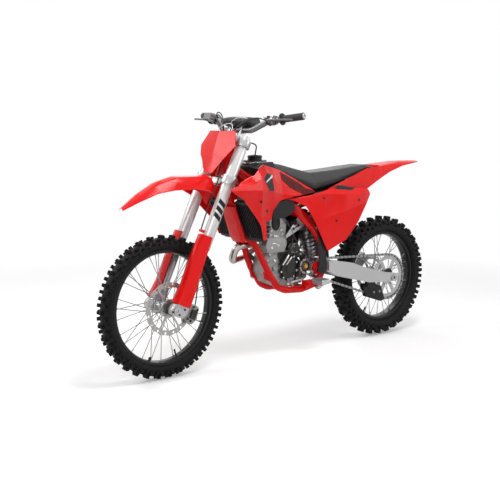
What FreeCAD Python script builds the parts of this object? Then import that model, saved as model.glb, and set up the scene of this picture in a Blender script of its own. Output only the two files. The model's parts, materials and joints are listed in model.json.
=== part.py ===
"""Motocross bike: a parametric document of its pieces, in millimetres, written to parts/NODE.step."""

import FreeCAD
import Part
import Sketcher
import math
import os
import re
from FreeCAD import Placement, Rotation, Vector

os.makedirs("parts", exist_ok=True)
doc = FreeCAD.newDocument("motocross_bike")
sheet = doc.addObject("Spreadsheet::Sheet", "Dimensions")

# Driving dimensions, in millimetres and degrees
DIMENSIONS = {
    # where the rider sits, from the rear axle and the floor
    "rider_ahead": 430,
    "seat_height": 961,
    # chassis geometry
    "wheelbase": 1485,
    "rake": 26.1,
    "axle_offset": 57,
    "leg_offset": 22,
    "leg_spread": 105,
    # clearances
    "fit_gap": 0.3,
    # front wheel
    "front_radius": 347,
    "front_lug_height": 13,
    "front_tyre_half": 41,
    "front_lug_pitches": 28,
    "front_rim_seat": 270,
    "front_rim_half": 25,
    "front_flange": 32,
    # rear wheel
    "rear_radius": 340,
    "rear_lug_height": 16,
    "rear_tyre_half": 54,
    "rear_lug_pitches": 26,
    "rear_rim_seat": 243,
    "rear_rim_half": 32,
    "rear_flange": 38,
    # what both wheels share
    "rim_wall": 4,
    "rim_well": 9,
    "rim_lip": 10,
    "spoke_radius": 2,
    "spokes_a_set": 9,
    "spoke_lacing": 56,
    "hub_barrel": 21,
    "hub_flange_radius": 36,
    "hub_flange_wall": 6,
    # axles
    "axle_radius": 11,
    "axle_bore": 8,
    "axle_head_radius": 17,
    "axle_head_wall": 5,
    "spacer_radius": 16,
    # brake discs
    "front_disc_radius": 130,
    "rear_disc_radius": 110,
    "disc_wall": 4,
    "disc_band": 26,
    "disc_wave": 4,
    "disc_arm": 9,
    "disc_hub_radius": 44,
    "front_disc_face": 58,
    "rear_disc_face": 62,
    "disc_waves": 16,
    "disc_arms": 6,
    # final drive
    "rear_sprocket_radius": 126.4,
    "front_sprocket_radius": 35.7,
    "rear_teeth": 50,
    "sprocket_wall": 5,
    "chain_plane": 72,
    "chain_width": 12,
    "chain_half": 4.6,
    "mesh_gap": 1.1,
    "tooth_depth": 6,
    "output_shaft_ahead": 630,
    "output_shaft_up": 465,
    "chain_links": 119,
    # fork
    "stem_radius": 12,
    "head_radius": 31,
    "head_low": 701,
    "head_top": 858,
    "clamp_gap": 0.5,
    "lower_clamp_wall": 44,
    "upper_clamp_wall": 36,
    "fork_tube_radius": 29,
    "fork_tube_low": 325,
    "fork_tube_top": 908,
    "fork_cap_radius": 21,
    "fork_cap_wall": 9,
    "slider_radius": 24,
    "slider_overlap": 60,
    "clamp_ring_wall": 9,
    "foot_low": -24,
    "foot_top": 95,
    "foot_half": 21,
    "guard_wall": 4,
    "guard_low": 32,
    "guard_top": 386,
    # handlebar
    "bar_radius": 14.3,
    "bar_bore": 9,
    "bar_bore_depth": 70,
    "bar_height": 955,
    "bar_ahead": 8,
    "bar_bend": 115,
    "bar_rise": 57,
    "bar_half": 402,
    "bar_end_rise": 44,
    "bar_sweep": 48,
    "grip_radius": 17.5,
    "grip_length": 120,
    "grip_flange_radius": 29,
    "grip_flange_wall": 5,
    # frame
    "spar_radius": 17,
    "spar_bend": 60,
    "spring_radius": 44,
    # swingarm
    "pivot_ahead": 568,
    "pivot_up": 450,
    "pivot_radius": 9,
    "pivot_boss_radius": 23,
    "pivot_boss_half": 84,
    "arm_inner": 90,
    "arm_wall": 32,
    # engine
    "case_half": 48,
    "case_left": 66,
    "case_right": 78,
    "cylinder_half": 54,
    "header_radius": 19,
    "silencer_radius": 46,
    # bodywork
    "panel_wall": 4,
    "fender_wall": 4,
}
for row, (alias, number) in enumerate(DIMENSIONS.items(), start=1):
    sheet.set(f"A{row}", alias)
    sheet.set(f"B{row}", str(number))
    sheet.setAlias(f"B{row}", alias)
doc.recompute()


# Expressions

def spell(expression):
    """Point each alias in an expression at its cell of the sheet."""
    def cell(word):
        return "Dimensions." + word[0] if word[0] in DIMENSIONS else word[0]
    return re.sub(r"[a-z_]+", cell, str(expression))


def value(expression):
    """What an expression in the sheet's aliases comes to."""
    return float(sheet.evalExpression(spell(expression)))


def bind(thing, **expressions):
    """Tie properties to expressions; a double underscore stands for a dot in a property's path."""
    for path, expression in expressions.items():
        thing.setExpression(path.replace("__", "."), spell(expression))
    return thing


# Where a node stands: on the chassis, in the steering frame or about an axle

ORIGIN_AHEAD = "-rider_ahead"
ORIGIN_UP = "-seat_height"
STEERING_AHEAD = "wheelbase - axle_offset * cos(rake * 1 deg) - rider_ahead"
STEERING_UP = "front_radius - axle_offset * sin(rake * 1 deg) - seat_height"
FRAMES = {
    "chassis": (ORIGIN_AHEAD, ORIGIN_UP),
    "steering": (STEERING_AHEAD, STEERING_UP),
    "front_wheel": ("wheelbase - rider_ahead", "front_radius - seat_height"),
    "rear_wheel": ("-rider_ahead", "rear_radius - seat_height"),
}
nodes = []


def node(name, thing, frame="chassis"):
    """Name a finished sub-part and stand it in its frame."""
    ahead, up = FRAMES[frame]
    thing.Label = name
    if frame == "steering":
        thing.Placement = Placement(Vector(), Rotation(Vector(0, 1, 0), -DIMENSIONS["rake"]))
        bind(thing, Placement__Rotation__Angle="-rake * 1 deg")
    bind(thing, Placement__Base__x=ahead, Placement__Base__z=up)
    nodes.append(thing)
    return thing


# Primitives

TURNS = {
    "X": Rotation(Vector(0, 1, 0), 90),
    "Y": Rotation(Vector(1, 0, 0), -90),
    "Z": Rotation(),
}


def rod(radius, length, x=0, y=0, z=0, axis="Z"):
    """A cylinder from a point along an axis."""
    thing = doc.addObject("Part::Cylinder", "Rod")
    thing.Placement = Placement(Vector(), TURNS[axis])
    return bind(thing, Radius=radius, Height=length,
                Placement__Base__x=x, Placement__Base__y=y, Placement__Base__z=z)


def across(radius, half, x=0, z=0):
    """A cylinder across the bike, as far to the left as to the right."""
    return rod(radius, f"2 * ({half})", x, f"-({half})", z, "Y")


def block(length, width, height, x=0, y=0, z=0):
    """A box from its low corner."""
    thing = doc.addObject("Part::Box", "Block")
    return bind(thing, Length=length, Width=width, Height=height,
                Placement__Base__x=x, Placement__Base__y=y, Placement__Base__z=z)


def fuse(*things):
    """Join solids, or gather like pieces that don't touch."""
    thing = doc.addObject("Part::MultiFuse", "Joined")
    thing.Shapes = list(things)
    return thing


def cut(base, *tools):
    """Take tools away from a solid."""
    thing = doc.addObject("Part::Cut", "Cut")
    thing.Base = base
    thing.Tool = tools[0] if len(tools) == 1 else fuse(*tools)
    return thing


def mirror(thing):
    """The right hand of a left piece."""
    other = doc.addObject("Part::Mirroring", "Right")
    other.Source = thing
    other.Normal = Vector(0, 1, 0)
    return other


def pair(thing):
    """A left piece with its right hand."""
    return fuse(thing, mirror(thing))


def feature(shape, name="Form"):
    """A form made with Part's own functions."""
    thing = doc.addObject("Part::Feature", name)
    thing.Shape = shape
    return thing


# Sketched pieces

def plane(body, role):
    """One of a body's own origin planes or axes."""
    return next(item for item in body.Origin.OriginFeatures if item.Role == role)


def sketch(body, role, *loops):
    """Closed outlines on an origin plane, each corner held at its two expressions."""
    drawing = body.newObject("Sketcher::SketchObject", "Outline")
    drawing.AttachmentSupport = (plane(body, role), [""])
    drawing.MapMode = "FlatFace"
    for loop in loops:
        first = drawing.GeometryCount
        spots = [(value(a), value(b)) for a, b in loop]
        for index, spot in enumerate(spots):
            end = spots[(index + 1) % len(spots)]
            drawing.addGeometry(Part.LineSegment(Vector(*spot, 0), Vector(*end, 0)), False)
        for index, (a, b) in enumerate(loop):
            line = first + index
            after = first + (index + 1) % len(loop)
            drawing.addConstraint(Sketcher.Constraint("Coincident", line, 2, after, 1))
            for kind, spot, number in (("DistanceX", a, 0), ("DistanceY", b, 1)):
                row = drawing.addConstraint(Sketcher.Constraint(kind, -1, 1, line, 1, spots[index][number]))
                if isinstance(spot, str):
                    bind(drawing, **{f"Constraints[{row}]": spot})
    return drawing


def prism(outline, low, high, role="XZ_Plane", *holes):
    """An outline padded from a low to a high face: along Y from a side view, else along the normal."""
    body = doc.addObject("PartDesign::Body", "Prism")
    drawing = sketch(body, role, outline, *holes)
    pad = body.newObject("PartDesign::Pad", "Pad")
    pad.Profile = drawing
    sideways = role == "XZ_Plane"
    pad.Reversed = sideways
    bind(drawing, AttachmentOffset__Base__z=f"-({low})" if sideways else low)
    bind(pad, Length=f"({high}) - ({low})")
    return body


def revolved(outline):
    """An outline of (radius, y) corners turned about Y."""
    body = doc.addObject("PartDesign::Body", "Turned")
    drawing = sketch(body, "XY_Plane", outline)
    turn = body.newObject("PartDesign::Revolution", "Revolution")
    turn.Profile = drawing
    turn.ReferenceAxis = (drawing, ["V_Axis"])
    turn.Angle = 360
    return body


# Free forms

def polygon(points):
    """A closed wire through points."""
    return Part.makePolygon([*points, points[0]])


def loft(sections):
    """A solid with flat facets through like sections."""
    return Part.makeLoft([polygon(points) for points in sections], True, True)


def tube(points, radius, bend):
    """A round tube along straight runs joined by tangent arcs."""
    spots = [Vector(*spot) for spot in points]
    edges, start = [], spots[0]
    for before, corner, after in zip(spots, spots[1:], spots[2:]):
        back, ahead = (before - corner).normalize(), (after - corner).normalize()
        half = back.getAngle(ahead) / 2
        reach = bend / math.tan(half)
        first, last = corner + back * reach, corner + ahead * reach
        middle = (back + ahead).normalize()
        crown = corner + middle * (bend / math.sin(half) - bend)
        edges += [Part.LineSegment(start, first).toShape(), Part.Arc(first, crown, last).toShape()]
        start = last
    edges.append(Part.LineSegment(start, spots[-1]).toShape())
    spine = Part.Wire(edges)
    ring = Part.Wire(Part.Circle(spots[0], spots[1] - spots[0], radius).toShape())
    return spine.makePipeShell([ring], True, True)


def across_plate(outline, low, high):
    """A side outline as a plate between two distances from the middle."""
    face = Part.Face(polygon([Vector(x, low, z) for x, z in outline]))
    return face.extrude(Vector(0, high - low, 0))


def both(shape):
    """A left shape with its right hand, as one compound."""
    return Part.makeCompound([shape, shape.mirror(Vector(), Vector(0, 1, 0))])


def shell_panel(stations, outline, wall):
    """A bent panel: a faceted slab through stations of (y, z), trimmed to a side outline."""
    sections = []
    for x, spots in stations:
        outer = [Vector(x, y, z) for y, z in spots]
        inner = [Vector(x, y - wall, z) for y, z in reversed(spots)]
        sections.append(outer + inner)
    return loft(sections).common(across_plate(outline, 0, 400))


def arch(x, top, spots, wall):
    """A section of a fender across the bike: crown, valley or shoulder, lip, crease and edge."""
    (valley, valley_z), (crease, crease_z), (edge, edge_z) = spots[0], spots[-2], spots[-1]
    under = [(valley, valley_z - wall), (crease - wall, crease_z - 2), (edge - wall, edge_z - 1)]
    outer = [(-y, z) for y, z in reversed(spots)] + [(0, top)] + spots
    inner = [*reversed(under), (0, top - wall), *[(-y, z) for y, z in under]]
    return [Vector(x, y, z) for y, z in outer + inner]


def backed(stations, inside, depth):
    """The space between an upright plane and just behind the face of a bent panel."""
    return loft([[Vector(x, inside, spots[0][1]), *[Vector(x, y - depth, z) for y, z in spots],
                  Vector(x, inside, spots[-1][1])] for x, spots in stations])


def closed(loops):
    """A solid from the loops of its flat faces."""
    shell = Part.makeShell([Part.Face(polygon(loop)) for loop in loops])
    shell.sewShape()
    solid = Part.makeSolid(shell)
    if solid.Volume < 0:
        solid.reverse()
    return solid


def flat_plate(outline, openings, low, high):
    """A plate across Y from an outline of (x, z) with openings."""
    wires = [polygon([Vector(x, low, z) for x, z in loop]) for loop in (outline, *openings)]
    return Part.makeFace(wires, "Part::FaceMakerBullseye").extrude(Vector(0, high - low, 0))


def round_spot(radius, angle):
    """A point on a circle about the axle, from an angle in degrees."""
    return radius * math.cos(math.radians(angle)), radius * math.sin(math.radians(angle))


# Wheels

def tyre(wheel):
    """A tyre of flat slices: in each pitch one slice carries centre lugs and the next shoulder lugs."""
    radius, half, seat = value(f"{wheel}_radius"), value(f"{wheel}_tyre_half"), value(f"{wheel}_rim_seat")
    tread = radius - value(f"{wheel}_lug_height")
    bead = value(f"{wheel}_rim_half - rim_wall - fit_gap")
    slices = 2 * int(value(f"{wheel}_lug_pitches"))
    shoulder = (tread - 0.28 * half, 0.86 * half)
    side = [shoulder, (0.5 * (seat + tread), half), (seat + value("rim_lip") + 3, bead),
            ((seat + value("fit_gap")) / math.cos(math.pi / slices), bead)]
    centre_lug = [(tread, 0.08 * half), (radius, 0.08 * half), (radius, 0.42 * half), (tread, 0.42 * half)]
    shoulder_lug = [(tread, 0.42 * half), (radius - 0.03 * half, 0.5 * half),
                    (radius - 0.2 * half, 0.98 * half), shoulder]

    def right(spots):
        return [(spot, -y) for spot, y in reversed(spots)]

    def turned(spots, angle):
        return [Vector(spot * math.cos(angle), y, spot * math.sin(angle)) for spot, y in spots]
    profiles = [centre_lug + side, [centre_lug[0], *shoulder_lug[:3], *side]]
    loops = []
    for index in range(slices):
        start, end = 2 * math.pi * index / slices, 2 * math.pi * (index + 1) / slices
        profile = profiles[index % 2] + right(profiles[index % 2])
        near, far = turned(profile, start), turned(profile, end)
        for spot in range(len(profile)):
            after = (spot + 1) % len(profile)
            loops.append([near[spot], near[after], far[after], far[spot]])
        for lug in (centre_lug, shoulder_lug):
            loops += [turned(lug, start), turned(right(lug), start)]
    return feature(closed(loops), "Tyre")


def rim(seat, half):
    """A rim turned about its axle: two lips, a seat for the tyre and a dropped well."""
    return revolved([
        (f"{seat} - rim_well", "-0.5 * " + half), (f"{seat} - rim_well", "0.5 * " + half),
        (f"{seat} - rim_wall", half), (f"{seat} + rim_lip", half),
        (f"{seat} + rim_lip", half + " - rim_wall"), (seat, half + " - rim_wall"),
        (seat, f"-({half} - rim_wall)"), (f"{seat} + rim_lip", f"-({half} - rim_wall)"),
        (f"{seat} + rim_lip", "-" + half), (f"{seat} - rim_wall", "-" + half),
    ])


def hub(flange, left, right, left_carrier, right_carrier):
    """A hub turned about its axle: a waisted barrel between two flanges, carriers, and its axle bore."""
    bore = "axle_radius + fit_gap"
    wall = "0.5 * hub_flange_wall"

    def end(face, carrier):
        seat = "disc_hub_radius" if carrier else "spacer_radius + 2"
        return [(seat, face), (seat, f"{face} - hub_flange_wall"),
                ("hub_barrel", f"{face} - hub_flange_wall - 3"),
                ("hub_barrel", f"{flange} + {wall} + 4"), ("hub_barrel + 4", f"{flange} + {wall}"),
                ("hub_flange_radius", f"{flange} + {wall}"), ("hub_flange_radius", f"{flange} - {wall}"),
                ("hub_barrel + 4", f"{flange} - {wall}"), ("hub_barrel", f"{flange} - {wall} - 6")]
    left_end = end(left, left_carrier)
    right_end = [(radius, f"-({y})") for radius, y in reversed(end(right, right_carrier))]
    return revolved([(bore, f"-({right})"), (bore, left), *left_end, ("hub_barrel - 3", 0), *right_end])


def spokes(flange, seat):
    """Crossed spokes: four sets, inside and outside each flange, leaning forward and back."""
    radius, count = value("spoke_radius"), int(value("spokes_a_set"))
    hole = value("hub_flange_radius - spoke_radius - 3")
    reach = value(f"{seat} - rim_well") - 0.7
    beside = value("0.5 * hub_flange_wall + spoke_radius + fit_gap")
    rods = []
    for side in (1, -1):
        for inside, lean in ((1, 1), (-1, -1)):
            start_y = side * (value(flange) + inside * beside + (0.9 if inside > 0 else -0.4))
            foot = Vector(hole, start_y, 0)
            end = Vector(reach, side * (7 + 3 * inside), 0)
            nipple = Rotation(Vector(0, 1, 0), lean * value("spoke_lacing")) * end
            run = nipple - foot
            beside_run = run.cross(Vector(0, 1, 0)).normalize()
            corners = [foot + Rotation(run, 60 * corner) * beside_run * radius for corner in range(6)]
            spoke = Part.Face(polygon(corners)).extrude(run)
            for index in range(count):
                turn = 360 / count * (index + 0.25 * (side > 0) + 0.5 * (lean > 0))
                rods.append(spoke.rotated(Vector(), Vector(0, 1, 0), turn))
    return feature(Part.makeCompound(rods), "Spokes")


def arm_gaps(inner, outer, arm):
    """The openings between the arms that join a ring to its centre."""
    count = int(value("disc_arms"))
    for index in range(count):
        middle = 360 / count * (index + 0.5)
        far = 180 / count - math.degrees(math.asin(arm / 2 / outer))
        near = 180 / count - math.degrees(math.asin(arm / 2 / inner))
        yield [round_spot(outer, middle + far * part / 3) for part in range(-3, 4)] + [
            round_spot(inner, middle + near * part) for part in (1, 0, -1)]


def disc(radius, face, waves):
    """A brake disc: a waved band on arms from its ring on the hub."""
    steps, wave, band = 4 * int(value(waves)), value("disc_wave"), value("disc_band")
    edge = [round_spot(value(radius) + wave / 2 * (math.cos(math.pi / 2 * step) - 1), 360 * step / steps)
            for step in range(steps)]
    centre = [round_spot(value("spacer_radius + 8"), 15 * step) for step in range(24)]
    gaps = arm_gaps(value("disc_hub_radius"), value(radius) - band, value("disc_arm"))
    return feature(flat_plate(edge, [centre, *gaps], value(face), value(f"{face} + disc_wall")), "Disc")


def sprocket():
    """The rear sprocket: teeth that stand just short of the chain, lightened between its arms."""
    tip, teeth = value("rear_sprocket_radius - chain_half - mesh_gap"), int(value("rear_teeth"))
    depth = value("tooth_depth")
    edge = [round_spot(tip - depth * (step % 2), 180 * step / teeth) for step in range(2 * teeth)]
    centre = [round_spot(value("spacer_radius + 8"), 15 * step) for step in range(24)]
    gaps = arm_gaps(value("disc_hub_radius"), tip - 22, value("2.4 * disc_arm"))
    low = value("chain_plane - 0.5 * sprocket_wall")
    return feature(flat_plate(edge, [centre, *gaps], low, low + value("sprocket_wall")), "Sprocket")


node("front_tyre", tyre("front"), "front_wheel")
node("front_rim", rim("front_rim_seat", "front_rim_half"), "front_wheel")
node("front_spokes", spokes("front_flange", "front_rim_seat"), "front_wheel")
node("front_hub", hub("front_flange", "front_disc_face", "front_disc_face", True, False), "front_wheel")
node("front_disc", disc("front_disc_radius", "front_disc_face", "disc_waves"), "front_wheel")

node("rear_tyre", tyre("rear"), "rear_wheel")
node("rear_rim", rim("rear_rim_seat", "rear_rim_half"), "rear_wheel")
node("rear_spokes", spokes("rear_flange", "rear_rim_seat"), "rear_wheel")
node("rear_hub", hub("rear_flange", "chain_plane - 0.5 * sprocket_wall", "rear_disc_face", True, True),
     "rear_wheel")
node("rear_disc", disc("rear_disc_radius", "-rear_disc_face - disc_wall", "disc_waves - 2"), "rear_wheel")
node("rear_sprocket", sprocket(), "rear_wheel")


# Fork and steering, in a frame that stands on the steering axis at the foot of the fork

def leg_rod(radius, low, top):
    """A cylinder on the left fork leg."""
    return rod(radius, f"({top}) - ({low})", "leg_offset", "leg_spread", low)


def clamp(low, wall, extras):
    """A fork clamp: two rings and a waisted bridge, with what else it carries."""
    ring = "fork_tube_radius + clamp_ring_wall"
    rings = pair(rod(ring, wall, "leg_offset", "leg_spread", low))
    web = prism([(-14, "-leg_spread"), (14, "-leg_spread + 20"), ("leg_offset + 26", "-leg_spread"),
                 ("leg_offset + 26", "-leg_spread + 24"), (20, -34), (20, 34),
                 ("leg_offset + 26", "leg_spread - 24"), ("leg_offset + 26", "leg_spread"),
                 (14, "leg_spread - 20"), (-14, "leg_spread"), (-22, 40), (-32, 20), (-32, -20), (-22, -40)],
                f"{low} + 5", f"{low} + ({wall}) - 5", "XY_Plane")
    bores = pair(rod("fork_tube_radius + fit_gap", f"{wall} + 2", "leg_offset", "leg_spread", f"{low} - 1"))
    return cut(fuse(rings, web, *extras), bores)


upper_low = "head_top + clamp_gap"
lower_low = "head_low - clamp_gap - lower_clamp_wall"
stem = rod("stem_radius", f"{upper_low} - {lower_low}", 0, 0, lower_low)
node("lower_clamp", clamp(lower_low, "lower_clamp_wall", [stem]), "steering")
bar_seat = "bar_radius + fit_gap"
risers = pair(block(34, 26, f"bar_height - ({upper_low}) + 12", "bar_ahead - 17", 33, f"{upper_low} + 6"))
bar_way = across(bar_seat, 80, "bar_ahead", "bar_height")
nut = rod(19, "upper_clamp_wall + 8", 0, 0, f"{upper_low} + 5")
upper = clamp(upper_low, "upper_clamp_wall", [risers, nut])
node("upper_clamp", cut(upper, bar_way), "steering")

outer_leg = leg_rod("fork_tube_radius", "fork_tube_low", "fork_tube_top")
cap = leg_rod("fork_cap_radius", "fork_tube_top", "fork_tube_top + fork_cap_wall")
sleeve = leg_rod("slider_radius + fit_gap", "fork_tube_low - 1", "fork_tube_low + slider_overlap + 1")
node("fork_tubes", pair(cut(fuse(outer_leg, cap), sleeve)), "steering")

slider = leg_rod("slider_radius", "foot_top", "fork_tube_low + slider_overlap")
foot = prism([("leg_offset - slider_radius - 3", "foot_top + 12"),
              ("leg_offset - slider_radius - 2", "foot_low + 28"),
              ("leg_offset - 12", "foot_low"), ("axle_offset + 12", "foot_low"),
              ("axle_offset + 22", "foot_low + 14"), ("axle_offset + 22", 10),
              ("leg_offset + slider_radius + 3", 62), ("leg_offset + slider_radius + 3", "foot_top + 12")],
             "leg_spread - foot_half", "leg_spread + foot_half")
axle_way = across("axle_radius + fit_gap", "leg_spread + 60", "axle_offset", 0)
node("fork_sliders", pair(cut(fuse(slider, foot), axle_way)), "steering")

axle_reach = "leg_spread + foot_half + 2"
spacer_start = "front_disc_face + 0.5"
spacer_end = "leg_spread - foot_half"
front_axle = fuse(
    across("axle_radius", axle_reach, "axle_offset", 0),
    rod("axle_head_radius", "axle_head_wall", "axle_offset", axle_reach, 0, "Y"),
    pair(rod("spacer_radius", f"{spacer_end} - ({spacer_start})", "axle_offset", spacer_start, 0, "Y")))
axle_hole = rod("axle_bore", 62, "axle_offset", f"{axle_reach} + axle_head_wall - 60", 0, "Y")
node("front_axle", cut(front_axle, axle_hole), "steering")

guard_low, guard_top = value("guard_low"), value("guard_top")
leg_x, leg_y = value("leg_offset"), value("leg_spread")


def guard_section(z, reach, back, side, corner):
    """One level of a fork guard: a faceted wall round the front and outside of the leg."""
    wall = value("guard_wall")
    outer = [(leg_x - back, leg_y + side), (leg_x + 8, leg_y + side + 2),
             (leg_x + reach - 8, leg_y + side - corner), (leg_x + reach, leg_y - 4),
             (leg_x + reach - 12, leg_y - side)]
    inner = [(leg_x + reach - 12 - wall, leg_y - side), (leg_x + reach - wall, leg_y - 4),
             (leg_x + reach - 8 - wall, leg_y + side - corner - wall), (leg_x + 8, leg_y + side + 2 - wall),
             (leg_x - back, leg_y + side - wall)]
    return [Vector(x, y, z) for x, y in outer + inner]


guard = loft([guard_section(guard_low, 58, 24, 33, 6), guard_section(123, 48, 22, 33, 10),
              guard_section(262, 53, 10, 34, 14), guard_section(guard_top, 48, 2, 36, 14)])
guard = guard.fuse(Part.makeBox(20, 10.7, 24, Vector(5, leg_y + value("foot_half + fit_gap"), 66)))
node("fork_guards", feature(both(guard), "Guards"), "steering")

caliper_body = prism([(-104, 2), (-84, -30), (-52, -34), (-34, 0), (-42, 44), (-66, 66), (-92, 58)], 40, 82)
disc_way = rod("front_disc_radius + 2", "disc_wall + 3", "axle_offset", "front_disc_face - 1.5", 0, "Y")
hanger = prism([(-40, -4), (-20, -14), (5, 20), (5, 70), (-14, 84), (-44, 44)], 66, "leg_spread - foot_half")
node("front_caliper", cut(fuse(caliper_body, hanger), disc_way), "steering")

# Handlebar and what it carries

half_bar = [
    (value("bar_ahead"), 0, value("bar_height")),
    (value("bar_ahead"), value("bar_bend"), value("bar_height")),
    (value("bar_ahead - 12"), value("bar_bend + 93"), value("bar_height + bar_rise")),
    (value("bar_ahead - bar_sweep"), value("bar_half"), value("bar_height + bar_rise + bar_end_rise")),
]
left_bar = half_bar[1:]
right_bar = [(x, -y, z) for x, y, z in reversed(left_bar)]
bar = tube(right_bar + left_bar, value("bar_radius"), 60)
bar_end = Vector(*half_bar[-1])
bar_line = (bar_end - Vector(*half_bar[-2])).normalize()
bore = Part.makeCylinder(value("bar_bore"), value("bar_bore_depth") + 5, bar_end + bar_line * 5, -bar_line)
node("handlebar", feature(bar.cut(both(bore)), "Bar"), "steering")


def on_bar(radius, start, length):
    """A sleeve on the left of the bar, from a distance in from its end."""
    gap = value("bar_radius + fit_gap")
    foot = bar_end - bar_line * (start + length)
    sleeve = Part.makeCylinder(radius, length, foot, bar_line)
    return sleeve.cut(Part.makeCylinder(gap, length + 2, foot - bar_line, bar_line))


grip = on_bar(value("grip_radius"), 2, value("grip_length")).fuse(
    on_bar(value("grip_flange_radius"), 2 + value("grip_length"), value("grip_flange_wall")))
node("grips", feature(both(grip), "Grips"), "steering")

perch = on_bar(21, 158, 34)
hand = bar_end - bar_line * 176
blade_path = [hand + Vector(*step) for step in ((16, 2, -14), (56, 20, -24), (46, 74, -18), (18, 159, -4))]
blade = tube(blade_path, 5, 14)
lever = perch.fuse(blade)
reservoir = Part.makeBox(36, 58, 34, Vector(hand.x + 26, -hand.y - 26, hand.z - 22))
brake_side = lever.mirror(Vector(), Vector(0, 1, 0)).fuse(reservoir)
node("levers", feature(Part.makeCompound([lever, brake_side]), "Levers"), "steering")

pad_low = "bar_height + 18 + fit_gap"
pad_outline = [(-34, pad_low), (52, pad_low), (62, "bar_height + 30"), (40, "bar_height + 55"),
               (-30, "bar_height + 81"), (-46, "bar_height + 65")]
node("bar_pad", prism(pad_outline, -98, 98), "steering")

# Front fender and number plate

wall = value("fender_wall")
fender_bosses = [Part.makeCylinder(9, 11, Vector(x, y, value(f"{lower_low} + 5") - 11.3))
                 for x, y in ((2, 24), (2, -24))]
front_fender = loft([
    arch(464, 349, [(8, 344), (14, 342), (22, 334)], wall),
    arch(407, 446, [(26, 437), (34, 430), (54, 408)], wall),
    arch(342, 532, [(32, 522), (40, 513), (66, 474)], wall),
    arch(265, 597, [(34, 588), (44, 577), (70, 524)], wall),
    arch(148, 652, [(36, 643), (46, 633), (72, 580)], wall),
    arch(110, 672, [(36, 660), (46, 648), (70, 590)], wall),
    arch(74, 684, [(36, 670), (44, 658), (66, 598)], wall),
    arch(55, 652, [(34, 650), (42, 646), (60, 600)], wall),
    arch(-12, 652, [(32, 650), (40, 646), (56, 560)], wall),
]).fuse(fender_bosses)
node("front_fender", feature(front_fender, "Fender"), "steering")


def upright(z, ridge, shoulder, edge, half, lean=0):
    """A level of the number plate: a ridge between two swept sides, with its wall behind."""
    outer = [(edge, -half), (shoulder, -0.5 * half), (ridge, 0), (shoulder, 0.5 * half), (edge, half)]
    inner = [(x - 4, y) for x, y in reversed(outer)]
    return [Vector(x, y, z + lean * (ridge - x)) for x, y in outer + inner]


number_plate = loft([
    upright(691, 85.8, 85.2, 84.4, 34), upright(724, 90, 88.4, 86.4, 58), upright(757, 93, 90.8, 88, 81),
    upright(783, 95.4, 93.4, 90.8, 106), upright(837, 100.4, 93, 84.7, 140),
    upright(905, 107.4, 99, 88.9, 101, 0.5)])
plate_stay = Part.makeBox(82, 16, 12, Vector(20.3, -8, 870))
node("number_plate", feature(number_plate.fuse(plate_stay), "Plate"), "steering")

# Frame and swingarm

spar_path = [(1080, 22, 1010), (930, 84, 900), (735, 93, 785), (600, 98, 664), (541, 106, 580),
             (541, 106, 410), (600, 76, 356), (660, 72, 344), (770, 69, 352), (820, 68, 374), (885, 67, 470), (915, 61, 530),
             (945, 48, 598), (985, 18, 650), (1085, 8, 858)]
spar = tube(spar_path, value("spar_radius"), value("spar_bend"))
head_tube = rod("head_radius", "head_top - head_low", 0, 0, "head_low")
bearing_seat = "stem_radius + 8"
head_bore = fuse(rod("stem_radius + fit_gap", "head_top - head_low + 2", 0, 0, "head_low - 1"),
                 rod(bearing_seat, 9, 0, 0, "head_top - 8"), rod(bearing_seat, 9, 0, 0, "head_low - 1"))


def steering_turned(thing):
    """Lean a piece of the chassis along the steering axis."""
    thing.Placement = Placement(Vector(), Rotation(Vector(0, 1, 0), -DIMENSIONS["rake"]))
    return bind(thing, Placement__Rotation__Angle="-rake * 1 deg",
                Placement__Base__x=STEERING_AHEAD + " + rider_ahead",
                Placement__Base__z=STEERING_UP + " + seat_height")


head = steering_turned(fuse(head_tube, prism([(-60, "head_low + 30"), (-20, "head_low + 2"),
                                              (-20, "head_top - 30"), (-50, "head_top - 50")], -22, 22)))
crossings = [across(12, 88, 690, 745), across(12, 70, 622, 350)]
beam_faces = pair(prism([(738, 808), (696, 785), (605, 700), (591, 678), (626, 665), (675, 705), (731, 761)],
                        96, 111))
shock_mounts = [prism([(684, 736), (600, 730), (552, 732), (546, 750), (562, 758), (690, 757)], low, low + 8)
                for low in (-48, -4)]
peg_lugs = pair(prism([(560, 372), (640, 352), (658, 370), (656, 392), (616, 392), (560, 392)], 78, 128))
case_lugs = pair(prism([(846, 400), (890, 420), (900, 460), (862, 452)], "case_half", 64))
radiator_lugs = [pair(block(30, 31, 20, 1000, 15, 692)), pair(block(25, 38, 15, 1045, 8, 800))]
left_spar = feature(spar, "Spar")
frame_blank = fuse(left_spar, mirror(left_spar), head, *crossings, beam_faces, *shock_mounts, peg_lugs,
                   case_lugs, *radiator_lugs)
pivot_way = across("pivot_radius + fit_gap", 130, "pivot_ahead", "pivot_up")
pivot_plates = pair(prism([(532, 416), (578, 420), (594, 450), (584, 482), (532, 486)], 87, 108))
node("frame", cut(fuse(frame_blank, pivot_plates), steering_turned(head_bore), pivot_way))
node("pivot_shaft", cut(across("pivot_radius", 122, "pivot_ahead", "pivot_up"),
                        across("pivot_radius - 4", 124, "pivot_ahead", "pivot_up")))

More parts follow.
